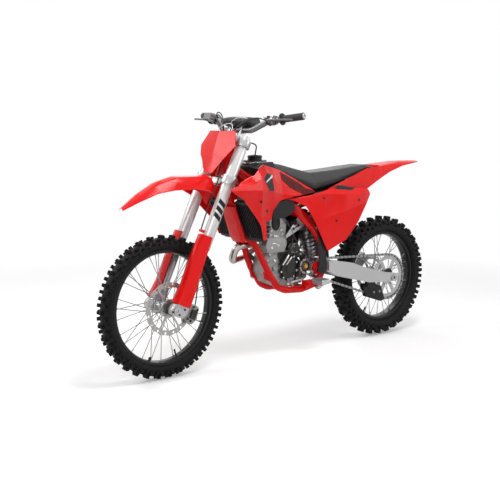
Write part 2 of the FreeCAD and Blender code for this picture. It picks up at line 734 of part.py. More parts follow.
arm = prism([(500, 432), (438, 396), (318, 366), (195, 334), (60, "rear_radius - 18"),
             (-34, "rear_radius - 21"),
             (-40, "rear_radius"), (-34, "rear_radius + 21"), (61, "rear_radius + 36"), (235, 424), (320, 456),
             (438, 478), (500, 480)], "arm_inner", "arm_inner + arm_wall")
shoulder = prism([(400, 428), (545, 428), (568, 427), (568, 473), (545, 475), (400, 472)], 62, "pivot_boss_half")
web = prism([(400, 430), (498, 434), (498, 476), (400, 471)], "pivot_boss_half - 4", "arm_inner + 4")
boss = across("pivot_boss_radius", "pivot_boss_half", "pivot_ahead", "pivot_up")
cross_member = prism([(385, 424), (428, 424), (428, 474), (385, 466)], "-arm_inner - 12", "arm_inner + 12")
shock_lug = prism([(400, 428), (424, 426), (488, 402), (498, 386), (480, 370), (440, 384)], -46, 2)
swingarm = cut(fuse(pair(arm), pair(shoulder), pair(web), boss, cross_member, shock_lug),
               across("pivot_radius + fit_gap", 130, "pivot_ahead", "pivot_up"),
               across("axle_radius + fit_gap", 160, 0, "rear_radius"))
node("swingarm", swingarm)

# Rear axle, chain and brake

rear_reach = "arm_inner + arm_wall + 2"
rear_axle = fuse(
    across("axle_radius", rear_reach, 0, "rear_radius"),
    pair(rod("axle_head_radius", "axle_head_wall", 0, rear_reach, "rear_radius", "Y")),
    rod("spacer_radius", "arm_inner - chain_plane + 0.5 * sprocket_wall - 0.5", 0,
        "chain_plane - 0.5 * sprocket_wall + 0.5", "rear_radius", "Y"),
    rod("spacer_radius", "arm_inner - rear_disc_face - 0.5", 0, "-arm_inner", "rear_radius", "Y"))
rear_hole = rod("axle_bore", 62, 0, f"{rear_reach} + axle_head_wall - 60", "rear_radius", "Y")
node("rear_axle", cut(rear_axle, rear_hole))

rear_centre = Vector(0, 0, value("rear_radius"))
output_centre = Vector(value("output_shaft_ahead"), 0, value("output_shaft_up"))


def straight(lean, spread, side):
    """The way forwards along the chain's upper or lower run."""
    angle = lean + side * (spread - math.pi / 2)
    return Vector(math.cos(angle), 0, math.sin(angle))


def chain_pins():
    """Where the pins stand round both sprockets, with the way outwards at each."""
    large, small = value("rear_sprocket_radius"), value("front_sprocket_radius")
    along = output_centre - rear_centre
    lean, spread = math.atan2(along.z, along.x), math.acos((large - small) / along.Length)
    run = along.Length * math.sin(spread)
    arcs = (2 * spread * small, 2 * (math.pi - spread) * large)
    total = 2 * run + sum(arcs)
    count = int(value("chain_links"))
    for index in range(2 * count):
        gone = total * index / (2 * count)
        if gone < run:
            angle = lean + spread
            out = Vector(math.cos(angle), 0, math.sin(angle))
            yield rear_centre + out * large + straight(lean, spread, 1) * gone, out
        elif gone < run + arcs[0]:
            angle = lean + spread - (gone - run) / small
            out = Vector(math.cos(angle), 0, math.sin(angle))
            yield output_centre + out * small, out
        elif gone < 2 * run + arcs[0]:
            angle = lean - spread
            out = Vector(math.cos(angle), 0, math.sin(angle))
            yield output_centre + out * small - straight(lean, spread, -1) * (gone - run - arcs[0]), out
        else:
            angle = lean - spread - (gone - 2 * run - arcs[0]) / large
            out = Vector(math.cos(angle), 0, math.sin(angle))
            yield rear_centre + out * large, out


chain_half = value("chain_half")
waist = 0.7 * chain_half
pins = list(chain_pins())
outside = [spot + out * (waist if index % 2 else chain_half) for index, (spot, out) in enumerate(pins)]
inside = [spot - out * chain_half for spot, out in pins[::2]]
chain = flat_plate([(spot.x, spot.z) for spot in outside], [[(spot.x, spot.z) for spot in inside]],
                   value("chain_plane - 0.5 * chain_width"), value("chain_plane + 0.5 * chain_width"))
node("chain", feature(chain, "Chain"))
output_radius = "front_sprocket_radius - chain_half - 1.2"
node("front_sprocket", fuse(
    rod(output_radius, "sprocket_wall", "output_shaft_ahead", "chain_plane - 0.5 * sprocket_wall",
        "output_shaft_up", "Y"),
    rod(15, "chain_plane + 6 - case_half", "output_shaft_ahead", "case_half", "output_shaft_up", "Y")))

guide_side = [(30, 214), (60, 206), (180, 247), (204, 300), (204, 322), (130, 314), (62, 296)]
guide_floor = [(60, 206), (180, 247), (180, 254), (60, 214)]
guide_lug = [(125, 304), (190, 304), (190, 333.2), (125, 327.4)]
node("chain_guide", fuse(prism(guide_side, 80.5, 84), prism(guide_side, 60, 63.5), prism(guide_floor, 60, 84),
                         prism(guide_lug, 80.5, 104)))

rear_caliper = prism([(66, 402), (40, 440), (62, 470), (104, 456), (132, 420), (136, 386), (100, 374)], -84, -48)
rear_hanger = prism([(58, 384), (52, 420), (100, 430), (120, 392), (100, 374)], "-arm_inner", -80)
rear_disc_way = rod("rear_disc_radius + 2", "disc_wall + 3", 0, "-rear_disc_face - disc_wall - 1.5",
                    "rear_radius", "Y")
node("rear_caliper", cut(fuse(rear_caliper, rear_hanger), rear_disc_way))

# Shock

shock_low, shock_top = Vector(490, -22, 399), Vector(560, -22, 745)
shock_line = (shock_top - shock_low).normalize()
shock_length = (shock_top - shock_low).Length


def along_shock(radius, start, end):
    """A cylinder on the shock's line, between two distances from its lower eye."""
    return Part.makeCylinder(radius, end - start, shock_low + shock_line * start, shock_line)


spring_radius = value("spring_radius")
coils = [along_shock(spring_radius, start, start + 12) for start in range(126, 282, 22)]
shock = along_shock(12, 6, 120).fuse([
    along_shock(30, 96, 300), along_shock(spring_radius, 112, 118), along_shock(spring_radius, 292, 298),
    *coils,
    along_shock(17, 300, shock_length - 2),
    Part.makeCylinder(14, 36, Vector(shock_top.x, -40, shock_top.z), Vector(0, 1, 0)),
    Part.makeCylinder(15, 30, Vector(shock_low.x - 2, -37, shock_low.z + 20), Vector(0, 1, 0))])
node("shock", feature(shock, "Shock"))

# Engine

crankcase = fuse(prism([(597, 512), (597, 424), (640, 376), (700, 362), (784, 366), (850, 396), (888, 452),
                        (884, 520), (868, 552), (700, 552), (640, 536)], "-case_half", "case_half"),
                 rod(26, 88, 690, -20, 566, "Y"), rod(15, 10, 722, "case_half - 2", 388, "Y"))
node("crankcase", cut(crankcase, rod(16, 60, "output_shaft_ahead", "case_half - 8", "output_shaft_up", "Y")))
cylinder = fuse(prism([(757, 552), (868, 552), (880, 590), (868, 628), (745, 628), (738, 590)],
                      "-cylinder_half", "cylinder_half"),
                prism([(748, 628), (860, 628), (852, 690), (856, 765), (752, 765), (740, 690)], -50, 50))
node("cylinder", cylinder)
node("head_cover", prism([(756, 765), (852, 765), (850, 808), (828, 830), (776, 830), (758, 808)], -46, 46))
cover_outline = [(786, 450), (776, 490), (742, 520), (702, 520), (684, 491), (684, 448), (704, 419), (742, 408),
                 (772, 419)]
ribs = [prism([(778, 470), (764, 468), (713, 518), (723, 527)], "case_left - 2", "case_left + 3"),
        prism([(796, 484), (784, 480), (746, 524), (752, 536)], "case_half", "case_left + 3")]
left_cover = fuse(prism(cover_outline, "case_half", "case_left"), *ribs,
                  rod(24, 4, 730, "case_left", 458, "Y"))
right_cover = fuse(rod(70, "case_right - case_half", 706, "-case_right", 462, "Y"),
                   rod(36, "case_right - case_half - 10", 788, "-case_right + 10", 446, "Y"))
node("engine_covers", fuse(left_cover, right_cover))

silencer_start, silencer_end = Vector(499.5, -150, 640), Vector(62, -154, 792)
silencer_line = (silencer_end - silencer_start).normalize()
header_path = [(884, 0, 604), (1028, -4, 598), (1032, -40, 520), (915, -102, 521), (800, -134, 556),
               silencer_start - silencer_line * 60, silencer_start + silencer_line * 10]
header = tube(header_path, value("header_radius"), 36).fuse(
    Part.makeCylinder(26, 13, Vector(880.3, 0, 604), Vector(1, 0, 0)))
node("header", feature(header, "Header"))
inlet = Part.makeCylinder(value("header_radius + fit_gap"), 11, silencer_start - silencer_line, silencer_line)
silencer = Part.makeCone(23, value("silencer_radius"), 60, silencer_start, silencer_line).fuse(
    Part.makeCylinder(value("silencer_radius"), (silencer_end - silencer_start).Length - 60,
                      silencer_start + silencer_line * 60, silencer_line))
silencer = silencer.cut([inlet, Part.makeCylinder(22, 90, silencer_end - silencer_line * 80, silencer_line)])
node("silencer", feature(silencer, "Silencer"))

# Cooling and intake

core = prism([(967, 652), (991, 642), (1067, 835), (1043, 845)], 46, 165)
node("radiators", pair(core))
slat = [(991.5, 642), (1001, 638), (1077, 831), (1067.5, 834.8)]
slats = [prism(slat, low, low + 4) for low in range(48, 162, 14)]
rails = [prism([(991.5, 642), (1001, 638), (1006, 651), (996.5, 654.8)], 48, 160),
         prism([(1062.5, 822.2), (1072, 818.2), (1077, 831), (1067.5, 834.8)], 48, 160)]
node("radiator_guards", pair(fuse(*slats, *rails)))


def cover_section(z, front, half):
    """A level of the cover before the down tubes: a face and two sides that lean back."""
    outer = [(front - 20, half), (front, half - 8), (front, 8 - half), (front - 20, -half)]
    inner = [(front - 20, 3 - half), (front - 3, 10 - half), (front - 3, half - 10), (front - 20, half - 3)]
    return [Vector(x, y, z) for x, y in outer + inner]


tube_way = tube(spar_path, value("spar_radius + fit_gap"), value("spar_bend"))
pads = Part.makeBox(35, 60, 16, Vector(1030, -30, 718)).cut(both(tube_way))
down_tube_cover = loft([cover_section(621, 1023, 46), cover_section(642, 1035, 50),
                        cover_section(806, 1094, 50)])
node("down_tube_cover", feature(down_tube_cover.fuse(pads), "Cover"))

node("airbox", prism([(462, 650), (474, 760), (505, 800), (505, 870), (427, 892.7), (300, 905), (240, 890),
                      (236, 730), (300, 650)], -56, 56))
intake = tube([(732, 20, 690), (640, 24, 672), (572, 44.5, 664), (470, 44.5, 668)], 22, 30)
flange = Part.makeCylinder(28, 8, Vector(738.5, 20, 690), Vector(-1, 0, 0))
node("intake", feature(intake.fuse(flange), "Intake"))

# Subframe

upper_rail = tube([(705, 68, 771), (640, 70, 806), (560, 72, 842), (420, 74, 856), (90, 60, 925)], 10, 20)
lower_rail = tube([(584, 72.1, 640), (556, 80, 656), (236, 66, 893)], 10, 20)
rail = feature(upper_rail.fuse(lower_rail), "Rail")
node("subframe", fuse(rail, mirror(rail), across(9, 62, 95, 924)))


# Bodywork

def hull_section(x, *spots):
    """A closed section across the bike from its left half, listed from crown to floor."""
    right = [(-y, z) for y, z in reversed(spots) if y]
    return [Vector(x, y, z) for y, z in [*spots, *right]]


tank = loft([
    hull_section(985, (50, 1003), (84, 996), (60, 984)),
    hull_section(950, (74, 1022), (112, 985), (60, 945)),
    hull_section(849, (74, 1022), (114, 965), (60, 882)),
    hull_section(842, (60, 977), (110, 960), (60, 880)),
    hull_section(760, (82, 937.9), (104, 905), (60, 855)),
    hull_section(695, (84, 907.2), (90, 890), (56, 852)),
])
node("fuel_tank", feature(tank, "Tank"))
cap = fuse(rod(60, 8, 908, 0, 1022.3), rod(36, 24, 908, 0, 1022.3))
node("fuel_cap", cap)

seat = loft([
    hull_section(842, (40, 1020), (60, 1000), (60, 977.5)),
    hull_section(760, (52, 998), (88, 964), (84, 938.4)),
    hull_section(700, (60, 981), (98, 935), (90, 909.8)),
    hull_section(590, (68, 953), (106, 902), (98, 865.5)),
    hull_section(427, (74, 961), (104, 925), (96, 893)),
    hull_section(264, (72, 974), (92, 955), (84, 940)),
    hull_section(169, (62, 980), (80, 972), (74, 964)),
    hull_section(75, (50, 957), (58, 953), (54, 948)),
])
node("seat", feature(seat, "Seat"))

shroud_outline = [(1249, 910), (1182, 927), (1131, 948), (1069, 969), (1030, 1000), (996, 1017), (928, 1000),
                  (851, 983), (734, 925), (612, 866), (612, 858), (760, 846), (880, 830), (940, 792), (952, 742),
                  (988, 738), (980, 644), (1002, 645), (1025, 713), (1061, 755), (1155, 855)]
shroud_stations = [
    (1260, [(228, 600), (236, 880), (240, 905), (237, 915), (224, 930)]),
    (1160, [(212, 600), (226, 850), (236, 902), (230, 926), (188, 942)]),
    (1085, [(206, 600), (218, 840), (232, 899), (226, 929), (180, 980)]),
    (1040, [(192, 600), (206, 760), (229, 896), (219, 957), (180, 1004)]),
    (990, [(178, 600), (190, 760), (212, 893), (200, 972), (168, 1024)]),
    (930, [(172, 600), (180, 760), (186, 882), (182, 940), (156, 1012)]),
    (850, [(140, 600), (148, 800), (150, 862), (146, 902), (124, 996)]),
    (600, [(118, 600), (122, 780), (126, 826), (126, 846), (116, 1000)]),
]
shroud = shell_panel(shroud_stations, shroud_outline, value("panel_wall"))
shroud_peg = Part.makeCylinder(8, 60, Vector(1030, 165.3, 780), Vector(0, 1, 0)).common(
    backed(shroud_stations[1:6], 130, 2))
node("shrouds", feature(both(shroud.fuse(shroud_peg)), "Shrouds"))
node("duct_covers", pair(fuse(
    prism([(883, 817), (751, 836), (745, 767), (806, 739), (892, 732)], 112.4, 122.4),
    rod(8, 5, 765, 108.9, 802, "Y"))))

panel_outline = [(799, 832), (751, 820), (676, 786), (616, 700), (542, 567), (525, 542), (391, 592), (305, 677),
                 (187, 825), (210, 855), (346, 872), (428, 887), (471, 876), (572, 858), (640, 846)]
right_outline = [(799, 832), (751, 820), (676, 786), (560, 735), (470, 745), (300, 785), (187, 832),
                 (210, 855), (346, 872), (428, 887), (471, 876), (572, 858), (640, 846)]
panel_stations = [
    (810, [(127, 500), (128, 780), (128, 836), (126, 900)]),
    (690, [(132, 500), (139, 740), (138, 836), (122, 900)]),
    (560, [(136, 500), (145, 720), (143, 848), (121, 880)]),
    (430, [(135, 500), (146, 740), (143, 838), (113, 900)]),
    (300, [(132, 500), (142, 770), (138, 831), (108, 884)]),
    (240, [(120, 500), (130, 780), (128, 850), (105, 882)]),
    (170, [(104, 500), (112, 780), (110, 846), (99, 880)]),
]
panel_peg = Part.makeCylinder(7, 58, Vector(360, 81.6, 798), Vector(0, 1, 0))
left_panel = shell_panel(panel_stations, panel_outline, value("panel_wall")).fuse(panel_peg)
right_panel = shell_panel(panel_stations, right_outline, value("panel_wall")).fuse(panel_peg)
right_panel = right_panel.mirror(Vector(), Vector(0, 1, 0))
node("side_panels", feature(Part.makeCompound([left_panel, right_panel]), "Panels"))

rear_fender = loft([
    arch(500, 862, [(106, 864), (110, 870), (111.5, 860), (112, 852)], wall),
    arch(427, 886, [(104, 888), (110, 893), (111.5, 870), (112, 856)], wall),
    arch(307, 920, [(96, 924), (101, 929), (103, 900), (104, 854)], wall),
    arch(190, 950, [(76, 950), (86, 963), (91, 938), (94, 852)], wall),
    arch(110, 946, [(64, 946), (82, 967), (87, 940), (90.5, 890)], wall),
    arch(74, 943, [(56, 943), (79, 970), (85, 941), (88, 905)], wall),
    arch(70, 976, [(56, 975), (77, 972), (84, 943), (87, 907)], wall),
    arch(-5, 984, [(52, 981), (66, 976), (76, 955), (80, 936)], wall),
    arch(-119, 992, [(44, 989), (52, 986), (64, 976), (70, 965)], wall),
    arch(-230, 991, [(34, 988), (40, 986), (50, 982), (54, 976)], wall),
    arch(-290, 988, [(16, 986), (22, 985), (28, 983), (32, 980)], wall)])
seat_way = loft([[Vector(x, y, z) for x, y in ((192, -81), (192, 81), (307, 97), (427, 105), (510, 107),
                                              (510, -107), (427, -105), (307, -97))] for z in (800, 1000)])
lug = Part.makeBox(8, 10, 12, Vector(104, 52, 932.9))
rear_fender = rear_fender.cut(seat_way).fuse([lug, lug.mirror(Vector(), Vector(0, 1, 0))])
node("rear_fender", feature(rear_fender, "Fender"))

guard_outline = [(593, 666), (572, 640), (535, 582), (524, 508), (521, 435), (560, 416), (580, 442), (576, 537),
                 (584, 620)]
node("frame_guards", pair(prism(guard_outline, "123.3", "127.3")))
teeth = [(x, z) for index in range(7) for x, z in ((574 + 8 * index, 400), (578 + 8 * index, 408))]
peg = prism([(572, 384), (630, 376), (630, 400), *reversed(teeth), (572, 400)], 128.3, 206)
peg_foot = prism([(560, 366), (600, 346), (612, 358), (596, 378), (560, 384)], 128.3, 150)
node("footpegs", pair(fuse(peg, peg_foot)))
shift = tube([(655, 48, 402), (655, 90, 402), (760, 104, 396), (800, 134, 396)], 6, 10)
pedal = tube([(645, -136, 386), (705, -130, 382), (800, -116, 392), (836, -126, 404)], 6, 10).fuse(
    Part.makeCylinder(10, 16, Vector(645, -144.3, 386), Vector(0, 1, 0)))
node("foot_controls", feature(Part.makeCompound([shift, pedal]), "Controls"))
stay_hole = [(694, 668), (666, 700), (650, 680)]
stay_plate = flat_plate([(752, 622), (708, 641), (645, 668), (627, 680), (627, 694), (657, 727), (680, 715),
                         (721, 669), (749, 640)], [stay_hole], value("cylinder_half"), 62)
stay_boss = Part.makeCylinder(8, 16, Vector(650, 61.9, 712), Vector(0, 1, 0))
node("head_stay", pair(feature(stay_plate.fuse(stay_boss), "Stay")))


# Checks and files

doc.recompute()
for thing in doc.Objects:
    if {"Invalid", "Error"} & set(thing.State):
        makers = [(item.Name, item.TypeId) for item in [*thing.InList, *thing.OutList]]
        raise RuntimeError(f"{thing.Label}: {thing.State} {makers}")
for thing in nodes:
    if thing.Shape.isNull() or not thing.Shape.isValid():
        raise RuntimeError(f"{thing.Label} has no valid shape")
    thing.Shape.exportStep(f"parts/{thing.Label}.step")
    print(thing.Label, len(thing.Shape.Solids), round(thing.Shape.Volume / 1000), "cm3")
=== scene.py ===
"""Motocross bike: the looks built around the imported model.

Lengths are metres in the model's own frame. Places that were read off the object are given in
millimetres from the rear axle's foot on the floor (ground) or from the foot of the fork (fork_frame).
"""

import json
import logging
import math
from collections.abc import Callable, Iterable, Iterator, Sequence
from contextlib import contextmanager
from dataclasses import dataclass
from enum import Enum

import bmesh
import bpy
from mathutils import Matrix, Vector

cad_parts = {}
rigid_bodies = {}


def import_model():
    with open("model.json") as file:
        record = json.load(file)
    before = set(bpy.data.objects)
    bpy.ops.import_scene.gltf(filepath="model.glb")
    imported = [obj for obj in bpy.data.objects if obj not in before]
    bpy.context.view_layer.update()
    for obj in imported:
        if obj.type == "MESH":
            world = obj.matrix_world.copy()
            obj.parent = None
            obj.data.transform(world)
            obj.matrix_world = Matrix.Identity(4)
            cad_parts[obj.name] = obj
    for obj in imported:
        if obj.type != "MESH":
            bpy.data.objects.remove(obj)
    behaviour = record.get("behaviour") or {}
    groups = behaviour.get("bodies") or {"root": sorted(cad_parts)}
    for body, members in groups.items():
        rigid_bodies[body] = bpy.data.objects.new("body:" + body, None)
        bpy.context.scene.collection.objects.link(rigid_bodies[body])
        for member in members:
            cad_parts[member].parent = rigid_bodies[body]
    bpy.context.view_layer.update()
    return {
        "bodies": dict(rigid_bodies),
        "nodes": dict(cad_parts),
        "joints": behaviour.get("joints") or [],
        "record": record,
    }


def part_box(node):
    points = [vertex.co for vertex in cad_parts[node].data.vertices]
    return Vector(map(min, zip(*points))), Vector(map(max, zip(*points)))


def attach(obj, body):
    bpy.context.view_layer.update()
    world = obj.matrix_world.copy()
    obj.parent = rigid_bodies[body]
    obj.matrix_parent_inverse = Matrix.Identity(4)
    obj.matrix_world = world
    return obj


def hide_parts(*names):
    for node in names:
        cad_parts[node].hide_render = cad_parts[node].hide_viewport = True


log = logging.getLogger("motocross_bike")

MM = 0.001
RIDER_AHEAD = 0.430
SEAT_HEIGHT = 0.961
RAKE = math.radians(26.1)
FORK_FOOT = Vector((1.003812, 0.0, -0.639077))
FORK_UP = Vector((-math.sin(RAKE), 0.0, math.cos(RAKE)))
FORK_AHEAD = Vector((math.cos(RAKE), 0.0, math.sin(RAKE)))
LEFT = Vector((0.0, 1.0, 0.0))
UP = Vector((0.0, 0.0, 1.0))
WHITE = (1.0, 1.0, 1.0, 1.0)

# How near points are merged, how flat faces are joined, and how straight an end has to face to be picked.
WELD = 1e-5
FLAT_ANGLE = math.radians(0.8)
END_FACING = 0.99
# The way that a copied pattern's own x axis is turned to, which no piece's axis takes.
PATTERN_AHEAD = Vector((0.31, 0.17, 0.93))
# How far left or right of the middle a place clears the whole bike, in millimetres.
BESIDE_BIKE = 400.0

Piece = bpy.types.Object
Point = tuple[float, float, float]
Outline = tuple[tuple[float, float], ...]
Steps = tuple[tuple[float, float], ...]


def ground(x: float, y: float, z: float) -> Vector:
    """Return the place of a point given in millimetres ahead of the rear axle, left and above the floor."""
    return Vector((x * MM - RIDER_AHEAD, y * MM, z * MM - SEAT_HEIGHT))


def fork_frame(x: float, y: float, z: float) -> Vector:
    """Return the place of a point in millimetres ahead of, left of and up along the steering axis."""
    return FORK_FOOT + (FORK_AHEAD * x + FORK_UP * z) * MM + Vector((0.0, y * MM, 0.0))


FRONT_AXLE = ground(1485.0, 0.0, 347.0)
REAR_AXLE = ground(0.0, 0.0, 340.0)


class Body(Enum):
    """The moving bodies of the model."""

    CHASSIS = "chassis"
    STEERING = "steering"
    FRONT_WHEEL = "front_wheel"
    REAR_WHEEL = "rear_wheel"


# Shader groups

def add_node(tree: bpy.types.NodeTree, kind: str, **settings: object) -> bpy.types.Node:
    """Add a node to a tree and set its options."""
    node = tree.nodes.new(kind)
    for key, setting in settings.items():
        setattr(node, key, setting)
    return node


@dataclass(frozen=True)
class GroupInput:
    """One named number that a shader group takes."""

    name: str
    default: float


class ShaderGroup:
    """A node group with named inputs and outputs, built once and used by many materials."""

    def __init__(self, name: str, inputs: Sequence[GroupInput], outputs: Sequence[tuple[str, str]]) -> None:
        """Make an empty group.

        Args:
            name: The group's name.
            inputs: The numbers that it takes, beside the coordinates.
            outputs: The name and socket type of each value that it gives.
        """
        self.tree = bpy.data.node_groups.new(name, "ShaderNodeTree")
        self.tree.interface.new_socket("Vector", in_out="INPUT", socket_type="NodeSocketVector")
        for item in inputs:
            socket = self.tree.interface.new_socket(item.name, in_out="INPUT", socket_type="NodeSocketFloat")
            socket.default_value = item.default
        for label, kind in outputs:
            self.tree.interface.new_socket(label, in_out="OUTPUT", socket_type=kind)
        self.start = self.tree.nodes.new("NodeGroupInput")
        self.end = self.tree.nodes.new("NodeGroupOutput")

    def add(self, kind: str, **settings: object) -> bpy.types.Node:
        """Add a node and set its options."""
        return add_node(self.tree, kind, **settings)

    def link(self, source: bpy.types.NodeSocket, target: bpy.types.NodeSocket) -> None:
        """Join two sockets."""
        self.tree.links.new(source, target)


def grain_group() -> bpy.types.NodeTree:
    """Build fine moulded grain: a height from small cells and noise.

    Returns:
        The group, which gives Height from 0 to 1.
    """
    group = ShaderGroup(Surface.GRAINED.value, [GroupInput("Scale", 900.0)], [("Height", "NodeSocketFloat")])
    cells = group.add("ShaderNodeTexVoronoi", feature="SMOOTH_F1")
    noise = group.add("ShaderNodeTexNoise")
    noise.inputs["Detail"].default_value = 3.0
    total = group.add("ShaderNodeMath", operation="MULTIPLY_ADD")
    total.inputs[1].default_value = 0.6
    for texture in (cells, noise):
        group.link(group.start.outputs["Vector"], texture.inputs["Vector"])
        group.link(group.start.outputs["Scale"], texture.inputs["Scale"])
    group.link(cells.outputs["Distance"], total.inputs[0])
    group.link(noise.outputs["Fac"], total.inputs[2])
    group.link(total.outputs[0], group.end.inputs["Height"])
    return group.tree


def tone_group() -> bpy.types.NodeTree:
    """Build the slow change of tone and gloss over a surface.

    Returns:
        The group, which gives a Tone about 1 and a Gloss about the roughness put in.
    """
    inputs = [GroupInput("Scale", 9.0), GroupInput("Spread", 0.1), GroupInput("Roughness", 0.4),
              GroupInput("Gloss spread", 0.06)]
    group = ShaderGroup("Tone", inputs, [("Tone", "NodeSocketFloat"), ("Roughness", "NodeSocketFloat")])
    noise = group.add("ShaderNodeTexNoise")
    noise.inputs["Detail"].default_value = 5.0
    group.link(group.start.outputs["Vector"], noise.inputs["Vector"])
    group.link(group.start.outputs["Scale"], noise.inputs["Scale"])
    centred = group.add("ShaderNodeMath", operation="SUBTRACT")
    centred.inputs[1].default_value = 0.5
    group.link(noise.outputs["Fac"], centred.inputs[0])
    for label, base, spread in (("Tone", None, "Spread"), ("Roughness", "Roughness", "Gloss spread")):
        total = group.add("ShaderNodeMath", operation="MULTIPLY_ADD")
        group.link(centred.outputs[0], total.inputs[0])
        group.link(group.start.outputs[spread], total.inputs[1])
        total.inputs[2].default_value = 1.0
        if base:
            group.link(group.start.outputs[base], total.inputs[2])
        group.link(total.outputs[0], group.end.inputs[label])
    return group.tree


def brushed_group() -> bpy.types.NodeTree:
    """Build long fine scratches: noise drawn out along one axis.

    Returns:
        The group, which gives Height from 0 to 1.
    """
    group = ShaderGroup(Surface.BRUSHED.value, [GroupInput("Scale", 260.0), GroupInput("Stretch", 14.0)],
                        [("Height", "NodeSocketFloat")])
    join = group.add("ShaderNodeCombineXYZ")
    join.inputs["X"].default_value = 1.0
    join.inputs["Z"].default_value = 1.0
    group.link(group.start.outputs["Stretch"], join.inputs["Y"])
    drawn = group.add("ShaderNodeVectorMath", operation="DIVIDE")
    group.link(group.start.outputs["Vector"], drawn.inputs[0])
    group.link(join.outputs[0], drawn.inputs[1])
    noise = group.add("ShaderNodeTexNoise")
    noise.inputs["Detail"].default_value = 2.0
    group.link(drawn.outputs[0], noise.inputs["Vector"])
    group.link(group.start.outputs["Scale"], noise.inputs["Scale"])
    group.link(noise.outputs["Fac"], group.end.inputs["Height"])
    return group.tree


class Surface(Enum):
    """The relief that a finish has, by the name of its shader group."""

    SMOOTH = ""
    GRAINED = "Moulded grain"
    BRUSHED = "Brushed"


@dataclass(frozen=True)
class Finish:
    """One finish of the bike, with the numbers that its material is built from."""

    name: str
    colour: Point
    roughness: float = 0.4
    metallic: float = 0.0
    coat: float = 0.0
    coat_roughness: float = 0.05
    specular: float = 0.5
    tone_spread: float = 0.12
    tone_scale: float = 9.0
    gloss_spread: float = 0.08
    surface: Surface = Surface.GRAINED
    relief_scale: float = 900.0
    relief: float = 0.15
    relief_depth: float = 0.0004
    record_slot: str = ""

    @property
    def slot(self) -> str:
        """The record's slot that a piece of this finish is listed in."""
        return self.record_slot or self.name

    def material(self) -> bpy.types.Material:
        """Return this finish's material, built the first time that it is asked for."""
        found = bpy.data.materials.get(self.name + "_finish")
        return found or self.build()

    def build(self) -> bpy.types.Material:
        """Build the material.

        Returns:
            A material with a Principled shader and its relief.
        """
        material = bpy.data.materials.new(self.name + "_finish")
        material.use_nodes = True
        tree = material.node_tree
        links = tree.links
        shader = tree.nodes["Principled BSDF"]
        shader.inputs["Metallic"].default_value = self.metallic
        shader.inputs["Coat Weight"].default_value = self.coat
        shader.inputs["Coat Roughness"].default_value = self.coat_roughness
        shader.inputs["Specular IOR Level"].default_value = self.specular
        place = add_node(tree, "ShaderNodeTexCoord")
        tone = add_node(tree, "ShaderNodeGroup", node_tree=bpy.data.node_groups["Tone"])
        tone.inputs["Scale"].default_value = self.tone_scale
        tone.inputs["Spread"].default_value = self.tone_spread
        tone.inputs["Roughness"].default_value = self.roughness
        tone.inputs["Gloss spread"].default_value = self.gloss_spread
        links.new(place.outputs["Object"], tone.inputs["Vector"])
        tinted = add_node(tree, "ShaderNodeVectorMath", operation="SCALE")
        tinted.inputs[0].default_value = self.colour
        links.new(tone.outputs["Tone"], tinted.inputs["Scale"])
        links.new(tinted.outputs[0], shader.inputs["Base Color"])
        links.new(tone.outputs["Roughness"], shader.inputs["Roughness"])
        if self.surface is not Surface.SMOOTH:
            group = bpy.data.node_groups[self.surface.value]
            relief = add_node(tree, "ShaderNodeGroup", node_tree=group)
            relief.inputs["Scale"].default_value = self.relief_scale
            links.new(place.outputs["Object"], relief.inputs["Vector"])
            bump = add_node(tree, "ShaderNodeBump")
            bump.inputs["Strength"].default_value = self.relief
            bump.inputs["Distance"].default_value = self.relief_depth
            links.new(relief.outputs["Height"], bump.inputs["Height"])
            links.new(bump.outputs["Normal"], shader.inputs["Normal"])
        return material


RED_PLASTIC = Finish("red_plastic", (0.80, 0.004, 0.004), roughness=0.2, specular=0.25, tone_spread=0.05,
                     relief_scale=1400.0, relief=0.04)
RED_PAINT = Finish("red_paint", (0.66, 0.004, 0.004), roughness=0.24, specular=0.2, tone_spread=0.06,
                   relief_scale=700.0, relief=0.05, record_slot="frame_paint")
SMOKED_RED = Finish("smoked_red_film", (0.10, 0.003, 0.003), roughness=0.28, specular=0.15, tone_spread=1.8,
                    tone_scale=34.0, relief_scale=1400.0, relief=0.04, record_slot="red_plastic")
BLACK_PLASTIC = Finish("black_plastic", (0.012, 0.012, 0.013), roughness=0.42, specular=0.25,
                       relief_scale=1300.0, relief=0.3)
BLACK_RIM = Finish("black_rim", (0.010, 0.010, 0.011), roughness=0.25, specular=0.3, relief_scale=500.0,
                   relief=0.03, record_slot="rim_black")
TYRE_RUBBER = Finish("tyre_rubber", (0.009, 0.009, 0.0095), roughness=0.55, specular=0.14, tone_spread=0.25,
                     relief_scale=700.0, relief=0.3)
GRIP_RUBBER = Finish("grip_rubber", (0.016, 0.016, 0.016), roughness=0.6, relief_scale=1200.0, relief=0.35)
HOSE_RUBBER = Finish("hose_rubber", (0.015, 0.015, 0.015), roughness=0.45, relief_scale=1500.0, relief=0.15,
                     record_slot="black_rubber")
SEAT_VINYL = Finish("seat_vinyl", (0.034, 0.034, 0.035), roughness=0.5, specular=0.4, relief_scale=650.0,
                    relief=0.55, record_slot="seat_cover")
PAD_COVER = Finish("bar_pad_cover", (0.016, 0.016, 0.017), roughness=0.42, relief_scale=900.0, relief=0.25,
                   record_slot="bar_foam")
# White finish: the printed stripe on each shroud, and the thin lines along the bar pad's edges, which are
# painted highlights of those edges.
WHITE_PRINT_AND_HIGHLIGHT = Finish("white_piping", (0.82, 0.82, 0.82), roughness=0.4, tone_spread=0.05, relief_scale=1200.0,
                relief=0.1, record_slot="bar_foam")
MACHINED = Finish("machined_aluminium", (0.50, 0.50, 0.51), roughness=0.3, metallic=0.75, relief_scale=600.0,
                  relief=0.05, record_slot="bare_aluminium")
BRUSHED_ALLOY = Finish("brushed_aluminium", (0.52, 0.52, 0.525), roughness=0.32, metallic=0.5,
                       surface=Surface.BRUSHED, relief_scale=420.0, relief=0.1, record_slot="bare_aluminium")
POLISHED = Finish("polished_edges", (0.72, 0.72, 0.72), roughness=0.2, metallic=0.7, surface=Surface.SMOOTH,
                  record_slot="bare_aluminium")
